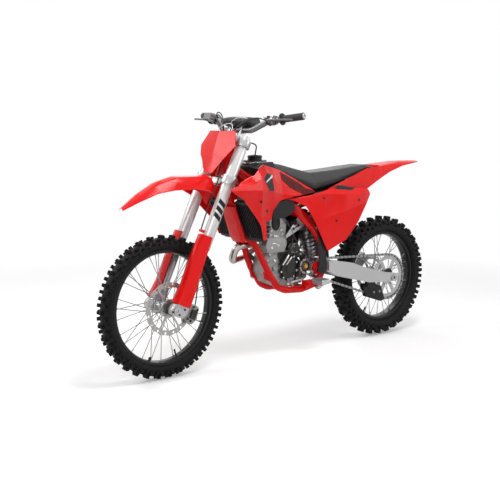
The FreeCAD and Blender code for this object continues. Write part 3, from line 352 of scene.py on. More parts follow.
BAR_ALLOY = Finish("bar_alloy", (0.20, 0.20, 0.205), roughness=0.36, metallic=0.85, surface=Surface.SMOOTH,
                   record_slot="bare_aluminium")
DARK_LEVER = Finish("dark_lever_alloy", (0.16, 0.155, 0.155), roughness=0.38, metallic=0.8,
                    relief_scale=700.0, relief=0.1, record_slot="bare_aluminium")
GOLD_CAP = Finish("gold_anodised", (0.72, 0.42, 0.10), roughness=0.3, metallic=0.9, surface=Surface.SMOOTH,
                  record_slot="bare_aluminium")
CAST_ALLOY = Finish("cast_aluminium", (0.31, 0.305, 0.30), roughness=0.40, metallic=0.45, tone_spread=0.25,
                    relief_scale=520.0, relief=0.45, record_slot="engine_metal")
DARK_CAST = Finish("dark_cast_cover", (0.022, 0.020, 0.019), roughness=0.36, metallic=0.3, tone_spread=0.2,
                   relief_scale=700.0, relief=0.3, record_slot="cover_metal")
FORK_SILVER = Finish("fork_tube_silver", (0.70, 0.70, 0.70), roughness=0.25, metallic=0.35, coat=0.4,
                     surface=Surface.SMOOTH, record_slot="fork_outer")
SPOKE_STEEL = Finish("spoke_steel", (0.34, 0.34, 0.35), roughness=0.3, metallic=0.9, surface=Surface.SMOOTH,
                     record_slot="polished_steel")
DISC_STEEL = Finish("disc_steel", (0.42, 0.41, 0.40), roughness=0.30, metallic=0.8, surface=Surface.BRUSHED,
                    relief_scale=500.0, relief=0.08, record_slot="polished_steel")
CHAIN_STEEL = Finish("chain_steel", (0.035, 0.033, 0.031), roughness=0.42, metallic=0.6, tone_spread=0.3,
                     record_slot="polished_steel")
HEADER_STEEL = Finish("header_steel", (0.52, 0.50, 0.47), roughness=0.26, metallic=1.0, tone_spread=0.2,
                      relief_scale=300.0, relief=0.08, record_slot="pipe_steel")


# Selecting, shaping and settling pieces

def alone(piece: Piece) -> None:
    """Select one piece and nothing else."""
    bpy.ops.object.select_all(action="DESELECT")
    piece.select_set(True)
    bpy.context.view_layer.objects.active = piece


@contextmanager
def editing(piece: Piece) -> Iterator[None]:
    """Hold one piece alone in edit mode."""
    alone(piece)
    bpy.ops.object.mode_set(mode="EDIT")
    yield
    bpy.ops.object.mode_set(mode="OBJECT")


def applied(piece: Piece, kind: str, **settings: object) -> None:
    """Add a modifier to a piece, set its options and apply it."""
    modifier = piece.modifiers.new(kind.title(), kind)
    for key, setting in settings.items():
        setattr(modifier, key, setting)
    alone(piece)
    bpy.ops.object.modifier_apply(modifier=modifier.name)


def rounded(piece: Piece, width: float, segments: int = 2, angle: float = 30.0) -> None:
    """Round a piece's sharp edges.

    Args:
        piece: The piece.
        width: The width of the rounding in millimetres.
        segments: The faces across it.
        angle: The least angle in degrees of an edge that is rounded.
    """
    applied(piece, "BEVEL", width=width * MM, segments=segments, limit_method="ANGLE",
            angle_limit=math.radians(angle))


def walled(piece: Piece, thick: float) -> None:
    """Give a sheet a thickness in millimetres, on its outer side."""
    applied(piece, "SOLIDIFY", thickness=thick * MM, offset=1.0)


def smoothed(piece: Piece, angle: float = 35.0) -> None:
    """Shade a piece smooth where its faces meet at less than an angle in degrees."""
    alone(piece)
    bpy.ops.object.shade_smooth_by_angle(angle=math.radians(angle))


def settle(piece: Piece, finish: Finish, body: Body, *stands_for: str) -> Piece:
    """Give a finished mesh its material and its body, and hide the nodes that it stands for.

    Args:
        piece: The object, whose place is in its mesh.
        finish: Its finish.
        body: The body that it moves with.
        stands_for: Nodes of the model that it replaces.

    Returns:
        The same object.
    """
    if not piece.data.materials:
        piece.data.materials.append(finish.material())
    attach(piece, body.value)
    if stands_for:
        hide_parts(*stands_for)
    log.info("%s: %d faces on %s", piece.name, len(piece.data.polygons), body.value)
    return piece


def finished(piece: Piece, finish: Finish, body: Body, edge: float = 0.0, segments: int = 1,
             shade: float = 35.0) -> Piece:
    """Round, shade and settle a piece.

    Args:
        piece: The piece.
        finish: Its finish.
        body: The body that it moves with.
        edge: The width of its rounded edges in millimetres, or none.
        segments: The faces across each rounded edge.
        shade: The angle in degrees under which its faces are shaded as one.

    Returns:
        The same piece.
    """
    if edge:
        rounded(piece, edge, segments)
    smoothed(piece, shade)
    return settle(piece, finish, body)


def dressed(node: Piece, finish: Finish) -> None:
    """Put a finish on a node that keeps its own mesh."""
    if not node.material_slots:
        node.data.materials.append(finish.material())
    for place in node.material_slots:
        place.material = finish.material()


def copied(frame: dict, node: str, name: str, flat: bool = True) -> Piece:
    """Copy a node's mesh for a finer piece, with its doubled points merged.

    Args:
        node: The node.
        name: The copy's name.
        flat: Whether faces that lie in one plane are joined too.

    Returns:
        The copy, with no material.
    """
    piece = bpy.data.objects.new(name, frame["nodes"][node].data.copy())
    bpy.context.scene.collection.objects.link(piece)
    piece.data.materials.clear()
    with editing(piece):
        bpy.ops.mesh.select_all(action="SELECT")
        bpy.ops.mesh.remove_doubles(threshold=WELD)
        if flat:
            bpy.ops.mesh.dissolve_limited(angle_limit=FLAT_ANGLE)
    return piece


def named(name: str, scale: Point = (1.0, 1.0, 1.0)) -> Piece:
    """Name the piece just added, and put its place and scale into its mesh."""
    piece = bpy.context.object
    piece.scale = scale
    piece.name = name
    piece.data.name = name
    alone(piece)
    bpy.ops.object.transform_apply(location=True, rotation=True, scale=True)
    return piece


def facing(axis: Vector) -> Point:
    """Return the turn that points a primitive's own z axis along an axis."""
    return tuple(axis.to_track_quat("Z", "Y").to_euler())


def block(name: str, centre: Vector, size: Point, turn: Point = (0.0, 0.0, 0.0)) -> Piece:
    """Add a block.

    Args:
        name: Its name.
        centre: Its middle.
        size: Its length, width and height in millimetres.
        turn: How it is turned.

    Returns:
        The block, to be shaped.
    """
    metres = tuple(side * MM for side in size)
    bpy.ops.mesh.primitive_cube_add(size=1.0, location=centre, rotation=turn, scale=metres)
    return named(name)


def laid(name: str, start: Vector, end: Vector, deep: float, wide: float) -> Piece:
    """Lay a bar from one place to another along the bike's side.

    Args:
        name: Its name.
        start: The middle of one end.
        end: The middle of the other end.
        deep: Its size across the bike in millimetres.
        wide: Its height in millimetres.

    Returns:
        The bar.
    """
    way = end - start
    size = (way.length / MM, deep, wide)
    return block(name, (start + end) / 2, size, (0.0, -math.atan2(way.z, way.x), 0.0))


def drum(name: str, centre: Vector, axis: Vector, radius: float, depth: float, sides: int = 24) -> Piece:
    """Add a round drum about an axis, with its sizes in millimetres."""
    bpy.ops.mesh.primitive_cylinder_add(vertices=sides, radius=radius * MM, depth=depth * MM,
                                        location=centre, rotation=facing(axis))
    return named(name)


def picked(piece: Piece, test: Callable[[Vector, Vector], bool]) -> None:
    """Select the faces of a piece in edit mode by their middle and normal."""
    bpy.ops.mesh.select_mode(type="FACE")
    bpy.ops.mesh.select_all(action="DESELECT")
    mesh = bmesh.from_edit_mesh(piece.data)
    for face in mesh.faces:
        face.select_set(test(face.calc_center_median(), face.normal))
    mesh.select_flush_mode()
    bmesh.update_edit_mesh(piece.data)


def drawn_out(way: Vector) -> None:
    """Extrude the selected faces along a way."""
    bpy.ops.mesh.extrude_region_move(TRANSFORM_OT_translate={"value": tuple(way)})


def trimmed(cuts: Iterable[tuple[Vector, Vector]]) -> None:
    """Cut the mesh in edit mode at planes, each a place and a way out, and clear what lies beyond."""
    for place, out in cuts:
        bpy.ops.mesh.select_all(action="SELECT")
        bpy.ops.mesh.bisect(plane_co=place, plane_no=out, clear_outer=True)


def stepped(piece: Piece, axis: Vector, steps: Steps) -> Piece:
    """Set steps into the end of a drum.

    Args:
        piece: The drum.
        axis: The way that its end faces.
        steps: For each step the inset and then the rise along the axis, in millimetres.

    Returns:
        The same piece.
    """
    way = axis.normalized()
    with editing(piece):
        picked(piece, lambda middle, normal: normal.dot(way) > END_FACING)
        for inset, rise in steps:
            if inset:
                bpy.ops.mesh.inset(thickness=inset * MM, depth=0.0)
            if rise:
                drawn_out(way * rise * MM)
    return piece


@dataclass(frozen=True)
class Turned:
    """A round part with steps in its end, in millimetres."""

    radius: float
    depth: float
    sides: int = 24
    steps: Steps = ()

    def at(self, name: str, centre: Vector, axis: Vector) -> Piece:
        """Make the part about an axis, with the stepped end on the side that the axis points to."""
        return stepped(drum(name, centre, axis, self.radius, self.depth, self.sides), axis, self.steps)


def joined(name: str, pieces: Sequence[Piece]) -> Piece:
    """Join pieces into the first of them, under a name."""
    bpy.ops.object.select_all(action="DESELECT")
    for piece in pieces:
        piece.select_set(True)
    bpy.context.view_layer.objects.active = pieces[0]
    if len(pieces) > 1:
        bpy.ops.object.join()
    pieces[0].name = name
    pieces[0].data.name = name
    return pieces[0]


def repeated(pattern: Piece, name: str, places: Sequence[Matrix]) -> Piece:
    """Copy a pattern to many places and join the copies.

    Args:
        pattern: The piece that is copied, which is taken away.
        name: The name of the joined piece.
        places: Where each copy stands.

    Returns:
        The joined piece.
    """
    copies = []
    for place in places:
        copy = bpy.data.objects.new(name, pattern.data.copy())
        copy.data.transform(place)
        bpy.context.scene.collection.objects.link(copy)
        copies.append(copy)
    bpy.data.objects.remove(pattern)
    return joined(name, copies)


def stood(origin: Vector, axis: Vector) -> Matrix:
    """Return the place of a pattern whose z axis points along an axis."""
    up = axis.normalized()
    left = up.cross(PATTERN_AHEAD).normalized()
    return Matrix.Translation(origin) @ Matrix((left.cross(up), left, up)).transposed().to_4x4()


def around(centre: Vector, radius: float, angles: Sequence[float], beside: float = 0.0) -> list[Vector]:
    """Return places on a circle that stands along the bike.

    Args:
        centre: Its middle.
        radius: Its radius in millimetres.
        angles: The angle of each place in radians, from ahead to up.
        beside: How far left of the centre the circle stands, in millimetres.

    Returns:
        The places.
    """
    return [centre + Vector((radius * math.cos(angle), beside, radius * math.sin(angle))) * MM
            for angle in angles]


def evenly(count: int) -> list[float]:
    """Return angles that share out a full turn."""
    return [2 * math.pi * index / count for index in range(count)]


def tube(name: str, route: Sequence[Vector], radius: float) -> Piece:
    """Draw a round pipe or fixed hose along a smooth route, with its radius in millimetres."""
    data = bpy.data.curves.new(name, "CURVE")
    data.dimensions = "3D"
    data.bevel_depth = radius * MM
    data.bevel_resolution = 3
    data.use_fill_caps = True
    spline = data.splines.new("NURBS")
    spline.points.add(len(route) - 1)
    for point, place in zip(spline.points, route):
        point.co = (*place, 1.0)
    spline.order_u = 3
    spline.use_endpoint_u = True
    spline.resolution_u = 6
    piece = bpy.data.objects.new(name, data)
    bpy.context.scene.collection.objects.link(piece)
    alone(piece)
    bpy.ops.object.convert(target="MESH")
    piece = bpy.context.object
    smoothed(piece, 50.0)
    return piece


@dataclass(frozen=True)
class Run:
    """A pipe or line that is fixed along its route, with its radius and places in millimetres."""

    name: str
    radius: float
    route: tuple[Point, ...]
    finish: Finish = HOSE_RUBBER

    def build(self, body: Body, place: Callable[[float, float, float], Vector]) -> Piece:
        """Draw the line.

        Args:
            body: The body that it moves with.
            place: The function that turns a place in millimetres into the model's own frame.

        Returns:
            The line.
        """
        piece = tube(self.name, [place(*spot) for spot in self.route], self.radius)
        return settle(piece, self.finish, body)


def plate(name: str, outline: Outline, low: float, high: float) -> Piece:
    """Cut a plate that stands along the bike.

    Args:
        name: Its name.
        outline: Its corners, each ahead of the rear axle and above the floor in millimetres.
        low: How far left of the middle its right face is.
        high: How far left of the middle its left face is.

    Returns:
        The plate.
    """
    bpy.ops.mesh.primitive_circle_add(vertices=len(outline), radius=1.0, fill_type="NGON")
    piece = named(name)
    for spot, (x, z) in zip(piece.data.vertices, outline):
        spot.co = ground(x, low, z)
    with editing(piece):
        bpy.ops.mesh.select_all(action="SELECT")
        drawn_out(LEFT * ((high - low) * MM))
        bpy.ops.mesh.select_all(action="SELECT")
        bpy.ops.mesh.normals_make_consistent(inside=False)
    return piece


def ring(name: str, centre: Vector, axis: Vector, radius: float, wide: float, thick: float) -> Piece:
    """Make a flat band round an axis, as a hose clamp or a collar is.

    Args:
        name: Its name.
        centre: Its middle.
        axis: The way that it goes through.
        radius: Its inner radius in millimetres.
        wide: How far it reaches along the axis.
        thick: Its thickness.

    Returns:
        The band.
    """
    bpy.ops.mesh.primitive_cylinder_add(vertices=36, radius=radius * MM, depth=wide * MM, location=centre,
                                        end_fill_type="NOTHING", rotation=facing(axis))
    piece = named(name)
    walled(piece, thick)
    rounded(piece, 0.25 * thick, 1, 50.0)
    smoothed(piece)
    return piece


def grown(outline: Outline, share: float) -> Outline:
    """Scale an outline about its middle."""
    x = sum(spot[0] for spot in outline) / len(outline)
    z = sum(spot[1] for spot in outline) / len(outline)
    return tuple((x + (a - x) * share, z + (b - z) * share) for a, b in outline)


def on_skin(piece: Piece, x: float, z: float, side: float) -> tuple[Vector, Vector] | None:
    """Find the outer skin of a piece at a place seen from the side.

    Args:
        piece: The piece.
        x: The place ahead of the rear axle in millimetres.
        z: The height above the floor in millimetres.
        side: 1 for the left side and -1 for the right.

    Returns:
        The place on the skin and the way that it faces, or None where the piece isn't there.
    """
    hit, place, normal, _ = piece.ray_cast(ground(x, BESIDE_BIKE * side, z), -side * LEFT)
    if not hit:
        return None
    return place, normal if normal.y * side > 0 else -normal


@dataclass(frozen=True)
class Screws:
    """A set of like screws on one body, with their heads' radius and height in millimetres."""

    name: str
    body: Body
    finish: Finish
    radius: float
    height: float
    spots: Sequence[tuple[Vector, Vector]]
    sides: int = 12
    socket: float = 0.5
    sunk: float = 2.0
    socket_depth: float = 0.55
    edge: float = 0.12

    def build(self) -> Piece:
        """Model one head with its socket and copy it to every place."""
        middle = UP * (self.height - self.sunk) / 2 * MM
        pattern = drum("screw", middle, UP, self.radius, self.height + self.sunk, self.sides)
        rounded(pattern, self.edge * self.radius, 1, 50.0)
        with editing(pattern):
            picked(pattern, lambda place, normal: normal.z > END_FACING and place.z > 0)
            bpy.ops.mesh.inset(thickness=self.radius * (1 - self.socket) * MM, depth=0.0)
            drawn_out(UP * -self.socket_depth * self.height * MM)
        piece = repeated(pattern, self.name, [stood(place, axis) for place, axis in self.spots])
        return finished(piece, self.finish, self.body)


# Camera and studio

class Camera:
    """The camera that the object was seen by."""

    PLACE = Vector((3.604, 3.861, 0.320))
    AZIMUTH = math.radians(140.51)
    ELEVATION = math.radians(7.38)
    ROLL = math.radians(-0.21)
    FOCAL_PIXELS = 976.0
    FRAME_PIXELS = 500.0
    AXIS_PIXEL = (263.5, 236.7)
    SENSOR = 36.0

    def build(self) -> Piece:
        """Make the camera and set it as the scene's own."""
        level = math.cos(self.ELEVATION)
        ahead = Vector((-math.sin(self.AZIMUTH) * level, math.cos(self.AZIMUTH) * level,
                        -math.sin(self.ELEVATION)))
        right = ahead.cross(UP).normalized()
        up = right.cross(ahead)
        rolled = right * math.cos(self.ROLL) + up * math.sin(self.ROLL)
        raised = up * math.cos(self.ROLL) - right * math.sin(self.ROLL)
        data = bpy.data.cameras.new("Camera")
        data.sensor_width = self.SENSOR
        data.lens = self.FOCAL_PIXELS / self.FRAME_PIXELS * self.SENSOR
        data.shift_x = -(self.AXIS_PIXEL[0] / self.FRAME_PIXELS - 0.5)
        data.shift_y = self.AXIS_PIXEL[1] / self.FRAME_PIXELS - 0.5
        camera = bpy.data.objects.new("Camera", data)
        bpy.context.scene.collection.objects.link(camera)
        turn = Matrix((rolled, raised, -ahead)).transposed()
        camera.matrix_world = Matrix.Translation(self.PLACE) @ turn.to_4x4()
        bpy.context.scene.camera = camera
        return camera


@dataclass(frozen=True)
class Lamp:
    """A square lamp: its place and size in metres and its power in watts."""

    place: Point
    size: float
    power: float

    def build(self, name: str, aim: Vector) -> None:
        """Hang the lamp so that it faces a place."""
        data = bpy.data.lights.new(name, "AREA")
        data.size = self.size
        data.energy = self.power
        lamp = bpy.data.objects.new(name, data)
        bpy.context.scene.collection.objects.link(lamp)
        lamp.location = self.place
        lamp.rotation_euler = (aim - Vector(self.place)).to_track_quat("-Z", "Y").to_euler()


@dataclass
class Studio:
    """The pale floor, the white background and the soft lamps."""

    floor_half: float = 9.0
    floor_ahead: float = 0.3
    floor_gap: float = 0.0005
    fade_start: float = 2.2
    fade_end: float = 3.6
    floor_colour: float = 0.92
    floor_roughness: float = 0.7
    floor_specular: float = 0.1
    world_light: float = 0.34
    lift: float = 0.24
    aim: Point = (0.3, 0.0, -0.4)
    lamps: tuple[Lamp, ...] = (Lamp((0.5, 1.1, 2.6), 1.3, 62.0), Lamp((3.4, 1.6, 0.6), 1.4, 12.0),
                               Lamp((-2.2, 3.2, 0.6), 1.6, 20.0), Lamp((2.8, -1.95, 1.9), 1.7, 46.0),
                               Lamp((-1.6, -2.8, 1.6), 1.8, 22.0))

    def build(self) -> None:
        """Build the floor, the world and the lamps."""
        self.floor()
        self.world()
        for number, lamp in enumerate(self.lamps, start=1):
            lamp.build(f"Softbox_{number}", Vector(self.aim))

    def floor(self) -> None:
        """Build the floor, which fades into the background away from the bike."""
        place = (self.floor_ahead, 0.0, -SEAT_HEIGHT - self.floor_gap)
        bpy.ops.mesh.primitive_plane_add(size=2 * self.floor_half, location=place)
        floor = bpy.context.object
        floor.name = "Floor"
        material = bpy.data.materials.new("floor_white")
        material.use_nodes = True
        tree = material.node_tree
        nodes, links = tree.nodes, tree.links
        paint = nodes["Principled BSDF"]
        paint.inputs["Base Color"].default_value = (self.floor_colour,) * 3 + (1.0,)
        paint.inputs["Roughness"].default_value = self.floor_roughness
        paint.inputs["Specular IOR Level"].default_value = self.floor_specular
        seen = add_node(tree, "ShaderNodeLightPath")
        lift = add_node(tree, "ShaderNodeEmission")
        lifted = add_node(tree, "ShaderNodeAddShader")
        to_eye = add_node(tree, "ShaderNodeMath", operation="MULTIPLY")
        to_eye.inputs[1].default_value = self.lift
        links.new(seen.outputs["Is Camera Ray"], to_eye.inputs[0])
        links.new(to_eye.outputs[0], lift.inputs["Strength"])
        links.new(paint.outputs[0], lifted.inputs[0])
        links.new(lift.outputs[0], lifted.inputs[1])
        spot = add_node(tree, "ShaderNodeTexCoord")
        distance = add_node(tree, "ShaderNodeVectorMath", operation="LENGTH")
        fade = add_node(tree, "ShaderNodeMapRange")
        fade.inputs["From Min"].default_value = self.fade_start
        fade.inputs["From Max"].default_value = self.fade_end
        share = add_node(tree, "ShaderNodeMath", operation="MULTIPLY")
        links.new(spot.outputs["Object"], distance.inputs[0])
        links.new(distance.outputs["Value"], fade.inputs["Value"])
        links.new(fade.outputs["Result"], share.inputs[0])
        links.new(seen.outputs["Is Camera Ray"], share.inputs[1])
        mix = add_node(tree, "ShaderNodeMixShader")
        links.new(share.outputs[0], mix.inputs["Fac"])
        links.new(lifted.outputs[0], mix.inputs[1])
        links.new(add_node(tree, "ShaderNodeEmission").outputs[0], mix.inputs[2])
        links.new(mix.outputs[0], nodes["Material Output"].inputs["Surface"])
        floor.data.materials.append(material)

    def world(self) -> None:
        """Build the world: white to the eye and in reflections, and a soft light elsewhere."""
        world = bpy.data.worlds.new("Studio")
        bpy.context.scene.world = world
        world.use_nodes = True
        tree = world.node_tree
        links = tree.links
        light = tree.nodes["Background"]
        light.inputs["Strength"].default_value = self.world_light
        light.inputs["Color"].default_value = WHITE
        white = add_node(tree, "ShaderNodeBackground")
        white.inputs["Color"].default_value = WHITE
        seen = add_node(tree, "ShaderNodeLightPath")
        through = add_node(tree, "ShaderNodeMath", operation="MAXIMUM")
        any_of = add_node(tree, "ShaderNodeMath", operation="MAXIMUM")
        mix = add_node(tree, "ShaderNodeMixShader")
        links.new(seen.outputs["Is Camera Ray"], through.inputs[0])
        links.new(seen.outputs["Is Transmission Ray"], through.inputs[1])
        links.new(through.outputs[0], any_of.inputs[0])
        links.new(seen.outputs["Is Glossy Ray"], any_of.inputs[1])
        links.new(any_of.outputs[0], mix.inputs["Fac"])
        links.new(light.outputs[0], mix.inputs[1])
        links.new(white.outputs[0], mix.inputs[2])
        links.new(mix.outputs[0], tree.nodes["World Output"].inputs["Surface"])


# Nodes of the model that are dressed or refined

@dataclass(frozen=True)
class RefinedNode:
    """A node of the model with its edges rounded as the real piece's are."""

    node: str
    finish: Finish
    body: Body
    bevel: float
    smooth: float

    def build(self, frame: dict) -> Piece:
        """Copy the node's mesh, merge it and bevel its edges.


        Returns:
            The finished piece.
        """
        piece = copied(frame, self.node, self.node + "_body")
        rounded(piece, self.bevel)
        smoothed(piece, self.smooth)
        return settle(piece, self.finish, self.body, self.node)


REFINED_NODES = (
    RefinedNode("front_fender", RED_PLASTIC, Body.STEERING, 1.0, 26.0),
    RefinedNode("number_plate", RED_PLASTIC, Body.STEERING, 1.0, 8.0),
    RefinedNode("fork_guards", RED_PLASTIC, Body.STEERING, 1.0, 16.0),
    RefinedNode("shrouds", RED_PLASTIC, Body.CHASSIS, 0.7, 7.0),
    RefinedNode("side_panels", RED_PLASTIC, Body.CHASSIS, 0.7, 7.0),
    RefinedNode("rear_fender", RED_PLASTIC, Body.CHASSIS, 1.0, 12.0),
    RefinedNode("down_tube_cover", RED_PLASTIC, Body.CHASSIS, 1.0, 24.0),
    RefinedNode("frame", RED_PAINT, Body.CHASSIS, 1.0, 32.0),
    RefinedNode("swingarm", BRUSHED_ALLOY, Body.CHASSIS, 1.6, 8.0),
    RefinedNode("crankcase", CAST_ALLOY, Body.CHASSIS, 2.0, 26.0),
    RefinedNode("cylinder", CAST_ALLOY, Body.CHASSIS, 2.0, 26.0),
    RefinedNode("head_cover", CAST_ALLOY, Body.CHASSIS, 3.0, 26.0),
    RefinedNode("engine_covers", DARK_CAST, Body.CHASSIS, 1.6, 26.0),
    RefinedNode("front_caliper", CAST_ALLOY, Body.STEERING, 1.6, 26.0),
    RefinedNode("rear_caliper", CAST_ALLOY, Body.CHASSIS, 1.6, 26.0),
    RefinedNode("lower_clamp", MACHINED, Body.STEERING, 1.6, 30.0),
    RefinedNode("upper_clamp", MACHINED, Body.STEERING, 1.6, 30.0),
    RefinedNode("front_hub", MACHINED, Body.FRONT_WHEEL, 1.0, 32.0),
    RefinedNode("rear_hub", MACHINED, Body.REAR_WHEEL, 1.0, 32.0),
    RefinedNode("airbox", BLACK_PLASTIC, Body.CHASSIS, 1.6, 26.0),
    RefinedNode("frame_guards", BLACK_PLASTIC, Body.CHASSIS, 1.4, 26.0),
    RefinedNode("duct_covers", BLACK_PLASTIC, Body.CHASSIS, 2.0, 26.0),
    RefinedNode("footpegs", MACHINED, Body.CHASSIS, 0.8, 26.0),
    RefinedNode("chain_guide", BLACK_PLASTIC, Body.CHASSIS, 1.6, 26.0),
    RefinedNode("foot_controls", MACHINED, Body.CHASSIS, 1.0, 32.0),
    RefinedNode("head_stay", BRUSHED_ALLOY, Body.CHASSIS, 1.0, 30.0),
    RefinedNode("fuel_tank", BLACK_PLASTIC, Body.CHASSIS, 2.0, 26.0),
    RefinedNode("fork_sliders", MACHINED, Body.STEERING, 1.0, 32.0),
    RefinedNode("fork_tubes", FORK_SILVER, Body.STEERING, 0.8, 32.0),
    RefinedNode("silencer", BRUSHED_ALLOY, Body.CHASSIS, 1.4, 32.0),
)

KEPT_NODES = {
    BLACK_RIM: ("front_rim", "rear_rim"),
    SPOKE_STEEL: ("front_spokes", "rear_spokes", "shock"),
    MACHINED: ("rear_sprocket", "front_axle", "rear_axle", "pivot_shaft"),
    CHAIN_STEEL: ("front_sprocket",),
    BAR_ALLOY: ("handlebar",),
    GRIP_RUBBER: ("grips",),
    DARK_LEVER: ("levers", "subframe"),
    HEADER_STEEL: ("header",),
    DARK_CAST: ("radiators",),
    BLACK_PLASTIC: ("radiator_guards", "fuel_cap"),
    HOSE_RUBBER: ("intake",),
}


# Tyres and wheels

@dataclass(frozen=True)
class Knob:
    """One rubber block of the tread, in millimetres, with its lean over the shoulder in degrees.

    Its place round the tyre is late by a share of a pitch.
    """

    across: float
    lean: float
    width: float
    length: float
    height: float
    late: float = 0.0


@dataclass(frozen=True)
class Tyre:
    """A tyre with its carcass and its blocks, in millimetres."""

    name: str
    node: str
    body: Body
    centre: Vector
    radius: float
    seat: float
    half: float
    rim_half: float
    pitches: int
    knob_height: float
    knobs: tuple[Knob, ...]

    WIDEST = 0.46
    SECTION = 0.96
    BEAD_SHARE = 0.45
    BEAD_INSET = 3.5
    BEAD_GAP = 0.6
    INNER_HALF = 4.0
    SECTION_POINTS = 32
    SPIN_STEPS = 112
    SPIN_WELD = 2e-5
    KNOB_ROOT = 6.0
    KNOB_TAPER = 0.84
    KNOB_EDGE = 0.9
    CUP_INSET = 2.8
    CUP_DEPTH = 1.4
    LAST_ACROSS = 0.98

    @property
    def crown(self) -> float:
        """Return the radius of the carcass under the middle blocks."""
        return self.radius - self.knob_height

    @property
    def middle(self) -> float:
        """Return the radius at which the carcass is widest."""
        return self.seat + self.WIDEST * (self.crown - self.seat)

    def build(self) -> Piece:
        """Build the tyre."""
        carcass = self.carcass()
        smoothed(carcass, 60.0)
        whole = joined(self.name, [carcass, self.tread()])
        return settle(whole, TYRE_RUBBER, self.body, self.node)

    def carcass(self) -> Piece:
        """Spin the section of the carcass about the axle."""
        rise = self.crown - self.middle
        bpy.ops.mesh.primitive_circle_add(vertices=self.SECTION_POINTS, radius=1.0,
                                          rotation=(0.0, math.pi / 2, 0.0),
                                          location=self.centre + UP * self.middle * MM)
        piece = named(self.name, (rise * MM, self.half * self.SECTION * MM, 1.0))
        self.pinch(piece)
        with editing(piece):
            bpy.ops.mesh.select_all(action="SELECT")
            bpy.ops.mesh.spin(steps=self.SPIN_STEPS, angle=2 * math.pi, center=self.centre, axis=LEFT)
            bpy.ops.mesh.select_all(action="SELECT")
            bpy.ops.mesh.remove_doubles(threshold=self.SPIN_WELD)
            bpy.ops.mesh.normals_make_consistent(inside=False)
        return piece

    def pinch(self, section: Piece) -> None:
        """Narrow the section to its beads, and end it on the rim's seat."""
        floor = self.centre.z + (self.seat + self.BEAD_GAP) * MM
        reach = self.middle * MM + self.centre.z - floor
        bead = (self.rim_half - self.BEAD_INSET) * MM
        for spot in section.data.vertices:
            if (spot.co.z - floor) / reach < self.BEAD_SHARE and abs(spot.co.y) > self.INNER_HALF * MM:
                spot.co.y = math.copysign(bead, spot.co.y)
            spot.co.z = max(spot.co.z, floor)

    def knob_on(self, knob: Knob, side: float) -> Piece:
        """Shape one block of the tread on one side of the middle."""
        size = (knob.length, knob.width, knob.height + self.KNOB_ROOT)
        piece = block("knob", UP * (knob.height / 2) * MM, size)
        with editing(piece):
            picked(piece, lambda middle, normal: normal.z > END_FACING)
            bpy.ops.transform.resize(value=(self.KNOB_TAPER,) * 3)
        rounded(piece, self.KNOB_EDGE, 1)
        with editing(piece):
            picked(piece, lambda middle, normal: normal.z > END_FACING)
            bpy.ops.mesh.inset(thickness=self.CUP_INSET * MM, depth=-self.CUP_DEPTH * MM)
        across = min(knob.across / (self.half * self.SECTION), self.LAST_ACROSS)
        rise = (self.crown - self.middle) * math.sqrt(1 - across * across)
        place = Vector((0.0, side * knob.across, self.middle + rise)) * MM
        lean = Matrix.Rotation(-side * math.radians(knob.lean), 4, "X")
        late = Matrix.Rotation(2 * math.pi / self.pitches * knob.late, 4, "Y")
        piece.data.transform(late @ Matrix.Translation(place) @ lean)
        return piece

    def tread(self) -> Piece:
        """Copy one pitch of blocks round the tyre."""
        pitch = joined("pitch", [self.knob_on(knob, side) for knob in self.knobs for side in (1.0, -1.0)])
        places = [Matrix.Translation(self.centre) @ Matrix.Rotation(angle, 4, "Y")
                  for angle in evenly(self.pitches)]
        return repeated(pitch, self.name + "_tread", places)


TYRES = (
    Tyre("front_tyre_knobbly", "front_tyre", Body.FRONT_WHEEL, FRONT_AXLE, radius=347.0, seat=270.0,
         half=40.0, rim_half=25.0, pitches=33, knob_height=13.0,
         knobs=(Knob(9.5, 8.0, 15.0, 17.0, 12.5), Knob(25.0, 28.0, 14.0, 18.0, 12.5, 0.5),
                Knob(33.0, 48.0, 13.0, 19.0, 11.5), Knob(36.5, 66.0, 11.0, 15.0, 8.0, 0.5))),
    Tyre("rear_tyre_knobbly", "rear_tyre", Body.REAR_WHEEL, REAR_AXLE, radius=340.0, seat=243.0,
         half=53.0, rim_half=32.0, pitches=30, knob_height=15.5,
         knobs=(Knob(12.0, 6.0, 19.0, 17.0, 15.5), Knob(32.0, 24.0, 17.0, 20.0, 15.0, 0.5),
                Knob(43.0, 46.0, 15.0, 21.0, 13.5), Knob(48.0, 66.0, 12.0, 17.0, 9.0, 0.5))),
)


